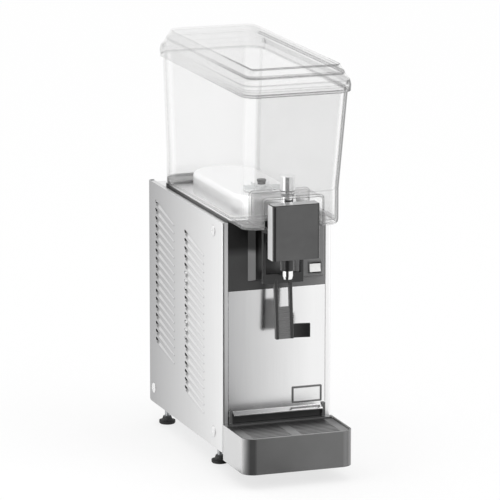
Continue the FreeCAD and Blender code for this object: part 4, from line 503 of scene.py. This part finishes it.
def add_head(built, place, radius, rise, twist):
    """A short skirt under a dome, with a cross sunk into the dome."""
    around, rings, sunk_foot = 48, 18, -0.0005
    skirt = rise * 0.25
    crown = rise - skirt
    sphere = (radius**2 + crown**2) / (2 * crown)
    arm, half, deepest = radius * 0.42, radius * 0.085, rise * 0.45
    levels = [(radius * 0.96, sunk_foot), (radius, 0.0), (radius, skirt * 0.8)]
    for step in range(rings):
        out = radius * 0.985 * (1 - step / rings)
        levels.append((out, rise - sphere + math.sqrt(sphere**2 - out**2) - 0.00002))
    loops = []
    for out, height in levels:
        loop = []
        for number in range(around):
            angle = math.tau * number / around
            x, y = out * math.cos(angle), out * math.sin(angle)
            sunk = cross_depth(x, y, twist, arm, half, deepest) if out < arm else 0
            loop.append(built.verts.new(place @ Vector((x, y, height - sunk))))
        loops.append(loop)
    middle = built.verts.new(place @ Vector((0, 0, rise * 0.55)))
    foot = built.verts.new(place @ Vector((0, 0, sunk_foot)))
    for number in range(around):
        after = (number + 1) % around
        for outer, inner in zip(loops, loops[1:]):
            built.faces.new((outer[number], outer[after], inner[after], inner[number]))
        built.faces.new((loops[-1][number], loops[-1][after], middle))
        built.faces.new((loops[0][after], loops[0][number], foot))


def screw_heads():
    """All the heads in one mesh, smooth all over."""
    built = bmesh.new()
    for head in head_places():
        add_head(built, *head)
    mesh = bpy.data.meshes.new("screw_heads")
    built.to_mesh(mesh)
    built.free()
    for face in mesh.polygons:
        face.use_smooth = True
    piece = bpy.data.objects.new("screw_heads", mesh)
    scene.collection.objects.link(piece)
    return piece


screws = screw_heads()
screws.data.materials.append(
    polished_steel("screw_steel", (0.82, 0.82, 0.82, 1), (0.92, 0.92, 0.92, 1), 0.2)
)
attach(screws, "machine")
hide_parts("panel_screws")


# Fascia and switch. A black moulding closes the front under the deck. The rocker switch snaps into
# the block that stands out of its middle. The kick panel behind the tray matches it; its black
# also stands in for the shade under the front panel's lip, as painted shade.
def fascia_finish():
    """Satin black with painted light: a painted reflection pales it to the right, painted shade
    darkens it under the tank's nose, and a lit slanted face on the block below that shade is
    painted paler.
    """
    plastic, at = new_material("fascia_plastic")
    x, height = at.part(0), at.part(2)
    grain = at.noise(1400.0, 2.0)
    clouds = at.noise(22.0, 2.0).between(0.3, 0.7)
    pale_from, pale_full, shade_ends, shade_full = -0.03, 0.08, 0.04, -0.02
    shade_low, shade_high, slope_top = 0.352, 0.368, 0.356
    satin = clouds.tint(grey(0.022), grey(0.03))
    # Painted reflection: the black pales toward the right.
    colour = x.between(pale_from, pale_full).tint(satin, grey(0.18))
    # Painted shade under the tank's nose, darkened further by making it partly metallic.
    shaded = height.between(shade_low, shade_high) * x.between(shade_ends, shade_full)
    colour = shaded.tint(colour, grey(0.006))
    # Painted light: the block's left-facing slanted face is made paler, as if lit.
    faces_left = (-at.facing_axis(1, 0, 0)).between(0.3, 0.6)
    painted_lit_slope = faces_left * height.between(slope_top + 0.008, slope_top)
    return surface(
        plastic,
        Base_Color=painted_lit_slope.tint(colour, grey(0.14)),
        Metallic=shaded * 0.6,
        Roughness=0.3 + (grain - 0.5) * 0.12,
        Normal=grain.relief(0.00006, 0.5, 0.0007),
    )


dress(fascia_finish(), "fascia")
dress(black_moulding("switch_black", 0.09, 0.32), "switch_housing")
# Painted shade: the kick panel's black also stands for the shade under the front panel's lip.
dress(black_moulding("kick_black_painted_shade", 0.02, 0.32), "kick_panel")
switch_white = pale_moulding("switch_white", (0.8, 0.8, 0.79, 1), (0.86, 0.86, 0.85, 1), 0.25)
dress(switch_white, "switch_rocker")


# Small plate. A bare plate, stamped from thin bright sheet with a darker rolled rim, and stuck to
# the foot of the front panel.
def rimmed_plate():
    plate, at = new_material("bright_plate")
    middle_x, middle_z = 0.05075, 0.12
    field_half, field_high, blur = 0.0219, 0.0102, 0.0006
    off_x, off_z = abs(at.part(0) - middle_x), abs(at.part(2) - middle_z)
    beside = off_x.between(field_half, field_half + blur)
    above = off_z.between(field_high, field_high + blur)
    rim = beside.or_more(above)
    hairlines = at.stretched(0.02, 1, 1).noise(900.0, 2.0)
    field = (hairlines * 0.5 + at.noise(60.0, 2.0) * 0.5).tint(grey(0.8), grey(0.93))
    return surface(
        plate,
        Base_Color=rim.tint(field, grey(0.16)),
        Metallic=1.0,
        Roughness=hairlines.between(0, 1, 0.24, 0.34),
        Normal=(hairlines * 0.2 + rim).relief(0.0002, 0.6, 0.0005),
    )


dress(rimmed_plate(), "badge_plate")


# Gasket, cold dome and impeller. The tank stands on a black rubber ring round the satin stainless
# dome, which stands up into the drink; a white impeller turns on the dome over a hidden magnet.
def gasket_finish():
    """Black rubber, greyer towards the front, in patches."""
    black, at = new_material("gasket_rubber")
    grain = at.noise(700.0, 3.0)
    rear, front = 0.17, 0.05
    greyer_front = at.part(1).between(rear, front) * grain.between(0.2, 0.8, 0.8, 1.0)
    return surface(
        black,
        Base_Color=greyer_front.tint(grey(0.008), grey(0.13)),
        Roughness=grain.between(0.2, 0.8, 0.6, 0.8),
        Normal=grain.relief(0.0001, 0.4, 0.0006),
    )


dress(gasket_finish(), "bowl_gasket")
satin = polished_steel("satin_steel", (0.92, 0.92, 0.92, 1), (0.98, 0.98, 0.98, 1), 0.36)
dress(satin, "evaporator")
magnet_steel = polished_steel("magnet_steel", (0.12, 0.12, 0.13, 1), (0.2, 0.2, 0.21, 1), 0.3)
dress(magnet_steel, "drive_magnet")
impeller_white = pale_moulding("impeller_white", (0.8, 0.81, 0.81, 1), (0.87, 0.88, 0.88, 1), 0.3)
dress(impeller_white, "agitator")
cap_black = polished_steel("cap_black", (0.008, 0.008, 0.008, 1), (0.016, 0.016, 0.016, 1), 0.3)
dress(cap_black, "agitator_cap")


# Tank. A clear polycarbonate moulding with 3 mm walls: nearly invisible face on. Painted reflection
# greys it where a bend turns away from the eye and draws a dark line along each fold and rim.
def clear_wall(name, tone, veil, front_veil, edge, tank=False):
    """Clear plastic of this tone. veil is how much a wall shows everywhere, front_veil how much
    more on its front and back, and edge the radius within which a fold draws its line."""
    clear, at = new_material(name)
    facing = at.node("ShaderNodeLayerWeight", {}, {"Blend": 0.5}, out="Facing")
    sideways, ahead = abs(at.facing_axis(1, 0, 0)), abs(at.facing_axis(0, 1, 0))
    level = abs(at.facing_axis(0, 0, 1))
    x, y, height = at.part(0), at.part(1), at.part(2)
    rear_part, front_part = 0.05, -0.19
    forward = y.between(rear_part, front_part)
    haze = at.noise(14.0, 3.0).between(0.3, 0.7)
    # Painted reflection: the front and back walls are veiled in a darker grey, most toward the
    # front.
    flat = ahead.between(0.93, 0.98) * forward.between(0, 1, 0.5, 1.0)
    corner = sideways.between(0.1, 0.25) * (1.0 - sideways.between(0.955, 0.985))
    corner = corner * (1.0 - level.between(0.25, 0.45))
    # Painted reflection: bends turned away from the eye go grey, weaker on the left, where the
    # light falls.
    bend = facing.between(0.35, 0.6) * corner * x.between(-0.02, 0.02, 0.3, 1.0)
    # Painted reflection: dark lines along folds and rims, fainter toward the rear.
    fold = at.creases(edge, 0.0006, 0.008) * forward.between(0.2, 1, 0.12, 1.0)
    if tank:
        # Milky towards the foot, with a darker band low on the rear wall.
        band_low, band_high, rear_face, milky_high, milky_full = 0.4105, 0.423, 0.172, 0.44, 0.415
        above_foot = height.between(band_low, band_low + 0.0015)
        below_bend = height.between(band_high, band_high - 0.002)
        band = y.between(rear_face - 0.004, rear_face) * above_foot * below_bend
        milky = height.between(milky_high, milky_full) * 0.1 + band * 0.25
    else:
        # The lid's painted fold lines are full on the top step, and weaker below it, on the skirt
        # and on the far side. Its left-facing and upward faces are made a little more opaque.
        step_height, rim_height, far_x, far_y = 0.651, 0.63, 0.07, -0.15
        strength = height.between(step_height + 0.0005, step_height - 0.0005, 1.0, 0.35)
        strength = strength * height.between(rim_height - 0.001, rim_height, 0.4, 1.0)
        far_side = x.between(far_x - 0.01, far_x) * y.between(far_y - 0.02, far_y)
        fold = fold * strength * (1.0 - far_side * 0.8)
        left_side = (-at.facing_axis(1, 0, 0)).between(0.3, 0.8)
        band, milky = 0.0, left_side * 0.08 + level.between(0.5, 0.9) * 0.06
    line = bend.or_more(fold).or_more(band * 0.6)
    plain = flat.tint(grey(tone), grey(0.45))
    clouded_front = flat * front_veil * haze.between(0, 1, 0.9, 1.08)
    alpha = veil + clouded_front + line * 0.88 + milky
    return surface(
        clear,
        Base_Color=line.tint(plain, grey(0.12)),
        Roughness=haze.between(0, 1, 0.04, 0.08),
        Alpha=alpha.at_most(0.93),
        Normal=at.node("ShaderNodeBevel", {"samples": 4}, {"Radius": 0.0012}),
    )


dress(clear_wall("clear_tank", 0.84, 0.045, 0.16, 0.0022, tank=True), "bowl")


# Valve. A stainless body goes through the shelf in the tank's nose and is sealed there by a rubber
# gasket. A bright plunger closes it from above, with a rubber seal. The sleeve round the spout and
# the bracket that carries the lever's pin are black.
bright = polished_steel("bright_steel", (0.9, 0.9, 0.9, 1), (0.97, 0.97, 0.97, 1), 0.08)
dress(bright, "valve_body", "plunger", "lever_pin", "link_pin")
dress(black_rubber, "valve_gasket", "plunger_seal")
dress(black_moulding("bracket_black", 0.015, 0.28, sheen=0.5), "valve_bracket", "spout_sleeve")


# Lever. One black moulding: a yoke astride the valve, two rails that run down and a little forward
# to a ribbed pad, and beside the pad a curved rest for the rim of the cup. It turns on a steel pin
# in the valve's bracket, and the pad's ribs are worn to a dull grey.
pivot_y, pivot_z = -0.20325, 0.4
knee_y, knee_z, tip_y, tip_z = -0.15525, 0.32, -0.16325, 0.222
half_deep = 0.004


def rounded_form(first_row, last_row, round_edge):
    """A closed form from two like loops of points, with its sharp edges rounded."""
    form = bmesh.new()
    first, last = ([form.verts.new(point) for point in row] for row in (first_row, last_row))
    form.faces.new(first)
    form.faces.new(last[::-1])
    for number in range(len(first)):
        after = (number + 1) % len(first)
        form.faces.new((first[after], first[number], last[number], last[after]))
    bmesh.ops.recalc_face_normals(form, faces=form.faces)
    sharp = [edge for edge in form.edges if edge.calc_face_angle(0) > math.radians(25)]
    bevel = {"offset": round_edge, "segments": 3, "profile": 0.5, "affect": "EDGES"}
    bmesh.ops.bevel(form, geom=sharp, clamp_overlap=True, **bevel)
    mesh = bpy.data.meshes.new("lever_form")
    form.to_mesh(mesh)
    form.free()
    return mesh


def slab(outline, low, high, round_edge=0.0008):
    """An outline of (y, z) points, given its thickness from x = low to x = high."""
    rows = ([(x, y, z) for y, z in outline] for x in (low, high))
    return rounded_form(*rows, round_edge)


def quarter_turn(y, z, radius):
    """Points round this centre, from level behind it to straight above it."""
    angles = [math.radians(15 * step) for step in range(7)]
    return [(y + radius * math.cos(a), z + radius * math.sin(a)) for a in angles]


def held_together(name, meshes):
    """One object that holds all these meshes."""
    built = bmesh.new()
    for mesh in meshes:
        built.from_mesh(mesh)
    joined = bpy.data.meshes.new(name)
    built.to_mesh(joined)
    built.free()
    made = bpy.data.objects.new(name, joined)
    scene.collection.objects.link(made)
    return made


def yoke_and_rails():
    """Two cheeks with round bosses on the pin, a rail for each, and the bar that joins them."""
    rail_in, rail_out, yoke_in, yoke_out = 0.0097, 0.0147, 0.029, 0.034
    arm, boss_radius, bar_low, bar_high = 0.004, 0.007, 0.311, 0.327
    inner_corner, outer_corner = 0.003, 0.006
    behind_knee, ahead_of_knee = knee_y + half_deep, knee_y - half_deep
    inner_y, inner_z = ahead_of_knee - inner_corner, pivot_z - arm - inner_corner
    outer_y, outer_z = behind_knee - outer_corner, pivot_z + arm - outer_corner
    cheek = [(pivot_y, pivot_z - arm), (inner_y, pivot_z - arm)]
    cheek += quarter_turn(inner_y, inner_z, inner_corner)[::-1][1:]
    cheek += [(ahead_of_knee, bar_low), (behind_knee, bar_low)]
    cheek += quarter_turn(outer_y, outer_z, outer_corner)
    cheek += [(pivot_y, pivot_z + arm)]
    angles = [math.tau * n / 40 for n in range(40)]
    boss = [
        (pivot_y + boss_radius * math.cos(angle), pivot_z + boss_radius * math.sin(angle))
        for angle in angles
    ]
    rail = [(ahead_of_knee, knee_z), (tip_y - half_deep, tip_z)]
    rail += [(tip_y + half_deep, tip_z), (behind_knee, knee_z)]
    forms = []
    for side in (-1, 1):
        low, high = sorted((side * yoke_in, side * yoke_out))
        forms += [slab(cheek, low, high), slab(boss, low, high)]
        low, high = sorted((side * rail_in, side * rail_out))
        forms.append(slab(rail, low, high))
    bar = [(ahead_of_knee, bar_low), (behind_knee, bar_low)]
    bar += [(behind_knee, bar_high), (ahead_of_knee, bar_high)]
    return forms + [slab(bar, -yoke_out, yoke_out)]


def ribbed_pad():
    """A thin pad between the rails, with half-round ribs across its front."""
    lean = (knee_y - tip_y) / (knee_z - tip_z)
    pad_half, pad_high, face, behind = 0.0122, 0.051, -0.0025, 0.0015
    ribs, rib_pitch, rib_half, rib_deep, rib_high, rooted = 8, 0.006, 0.0092, 0.0018, 0.0015, 0.0006
    pad_y, pad_z = tip_y + lean * pad_high, tip_z + pad_high
    pad = [(tip_y + face, tip_z), (tip_y + behind, tip_z)]
    pad += [(pad_y + behind, pad_z), (pad_y + face, pad_z)]
    forms = [slab(pad, -pad_half, pad_half, 0.0004)]
    arcs = [math.pi * n / 8 for n in range(9)]
    for number in range(ribs):
        rise = rib_pitch * (number + 0.5)
        root_y, middle_z = tip_y + lean * rise + face + rooted, tip_z + rise + rib_high
        rib = [
            (root_y - rib_deep * math.sin(arc), middle_z - rib_high * math.cos(arc)) for arc in arcs
        ]
        forms.append(slab(rib, -rib_half, rib_half, 0.0002))
    return forms


def cup_rest():
    """A curved blade beside the pad, hollow towards the cup."""
    rest_start, rest_end, rest_high, outer, inner = 0.012, 0.0425, 0.023, 0.18, 0.1765
    centre_y = tip_y + half_deep - outer
    reach = [rest_start + (rest_end - rest_start) * n / 12 for n in range(13)]
    outer_row, inner_row = (
        [(x, centre_y + radius * math.cos(math.asin(x / radius))) for x in reach]
        for radius in (outer, inner)
    )
    rest = outer_row + inner_row[::-1]
    levels = ([(x, y, z) for x, y in rest] for z in (tip_z, tip_z + rest_high))
    return rounded_form(*levels, 0.001)


def push_lever():
    """The whole moulding as one skin: bevelled forms, joined by a Boolean union."""
    forms = yoke_and_rails() + ribbed_pad() + [cup_rest()]
    piece = held_together("push_lever_moulding", forms[:1])
    others = held_together("lever_forms", forms[1:])
    union = piece.modifiers.new("union", "BOOLEAN")
    union.operation, union.solver, union.use_self, union.object = "UNION", "EXACT", True, others
    bpy.context.view_layer.update()
    joined = piece.evaluated_get(bpy.context.evaluated_depsgraph_get())
    whole = bpy.data.meshes.new_from_object(joined)
    piece.modifiers.clear()
    piece.data = whole
    bpy.data.objects.remove(others)
    for mesh in forms:
        bpy.data.meshes.remove(mesh)
    return piece


def lever_finish():
    """Glossy black; the pad between the rails shows wear, and is pale where it faces the panel."""
    black, at = new_material("lever_black")
    worn_half, worn_top, knee_gloss_from = 0.0092, 0.2735, 0.29
    grain = at.noise(1400.0, 2.0)
    beside, height = abs(at.part(0)), at.part(2)
    wear_and_shade = beside.between(worn_half + 0.0005, worn_half)
    wear_and_shade = wear_and_shade * height.between(worn_top + 0.0005, worn_top)
    facing = at.node("ShaderNodeLayerWeight", {}, {"Blend": 0.5}, out="Facing")
    edge_on = facing.between(0.3, 0.75) * (1.0 - abs(at.facing_axis(0, 0, 1)))
    edge_on = edge_on * height.between(knee_gloss_from, knee_z, 0.5, 0.1)
    colour = wear_and_shade.tint(grey(0.012), grain.tint(grey(0.09), grey(0.18)))
    pad_back = at.facing_axis(0, 1, 0).between(0.5, 0.8) * wear_and_shade
    colour = pad_back.tint(colour, grey(0.6))
    return surface(
        black,
        Base_Color=edge_on.tint(colour, grey(0.9)),
        Metallic=edge_on,
        Roughness=0.24 + wear_and_shade * 0.2 + (grain - 0.5) * 0.1,
        Normal=grain.relief(0.00005, 0.5),
    )


lever = push_lever()
lever.data.materials.clear()
lever.data.materials.append(lever_finish())
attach(lever, "push_lever")
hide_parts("lever")


# Valve cover. A polished black moulding, pushed on over the bracket. Its sides and top carry a
# painted highlight, and painted shade makes the rounded edges round its face darker than the face.
def cover_finish():
    """Polished black face, with painted shade along its rounded edges and a painted highlight on
    its sides and top.
    """
    gloss, at = new_material("gloss_black")
    grain = at.noise(1400.0, 2.0)
    clouds = at.noise(30.0, 2.0).between(0.3, 0.7)
    right, upward = at.facing_axis(1, 0, 0), at.facing_axis(0, 0, 1)
    edge = abs(right).between(0.12, 0.4).or_more(upward.between(0.15, 0.4))
    # Painted shade: the rounded edges round the face are made darker.
    colour = edge.tint(clouds.tint(grey(0.06), grey(0.075)), grey(0.012))
    # Painted highlight: the sides, and more faintly the top, are made pale and a little rougher.
    side = abs(right).between(0.9, 0.97).or_more(upward.between(0.93, 0.98) * 0.45)
    return surface(
        gloss,
        Base_Color=side.tint(colour, grey(0.75)),
        Roughness=0.16 + side * 0.15 + (grain - 0.5) * 0.06,
        Normal=grain.relief(0.00001, 0.4, 0.0005),
    )


dress(cover_finish(), "valve_cover")


# Lid. The same clear plastic as the tank, with a skirt over the tank's rim and a middle that
# rises in steps. It lies loose on the rim.
dress(clear_wall("clear_lid", 0.52, 0.08, 0.05, 0.0035), "lid")


# Tray and grate. A dark grey tray hangs on the kick panel and slides on the bracket; the slotted
# grate lifts out of it.
def grate_finish():
    """Dark grey, with painted shade that darkens the back under the front panel's lip, and paler
    towards the front in noisy patches.
    """
    plastic, at = new_material("grate_plastic")
    grain = at.noise(1400.0, 2.0)
    back, front = -0.16, -0.2
    patchiness = at.noise(30.0, 3.0).between(0.2, 0.8, 0.7, 1.0)
    # Painted shade: dark at the back, under the lip, ramping paler toward the front.
    wear_and_shade = at.part(1).between(back, front) * patchiness
    return surface(
        plastic,
        Base_Color=wear_and_shade.tint(grey(0.02), grey(0.2)),
        Roughness=0.4 + (grain - 0.5) * 0.12,
        Normal=grain.relief(0.00006, 0.5, 0.0006),
    )


dress(black_moulding("tray_plastic", 0.05, 0.22, sheen=0.75, turn_from=0.05), "drip_tray")
dress(grate_finish(), "drip_grate")


# Back. The thermostat's knob is black plastic with a white pointer line, pushed on its shaft. The
# cord gland in the rear panel and the compressor's terminal cover are plain black mouldings.
def pointer_knob():
    """Black, with the pointer line on the upper half of the knob's face."""
    black, at = new_material("knob_black")
    grain = at.noise(1200.0, 2.0)
    knob_x, line_half, line_low, front_face = 0.055, 0.0008, 0.337, 0.2342
    beside = abs(at.part(0) - knob_x).between(line_half + 0.0001, line_half)
    above = at.part(2).between(line_low, line_low + 0.0002)
    pointer = beside * above * at.part(1).between(front_face, front_face + 0.0002)
    return surface(
        black,
        Base_Color=pointer.tint(grain.tint(grey(0.014), grey(0.022)), grey(0.85)),
        Roughness=grain.between(0.2, 0.8, 0.3, 0.4),
        Normal=grain.relief(0.00006, 0.5, 0.0007),
    )


dress(pointer_knob(), "thermostat_knob")
dress(black_moulding("small_black", 0.015, 0.3), "cord_gland", "terminal_cover")
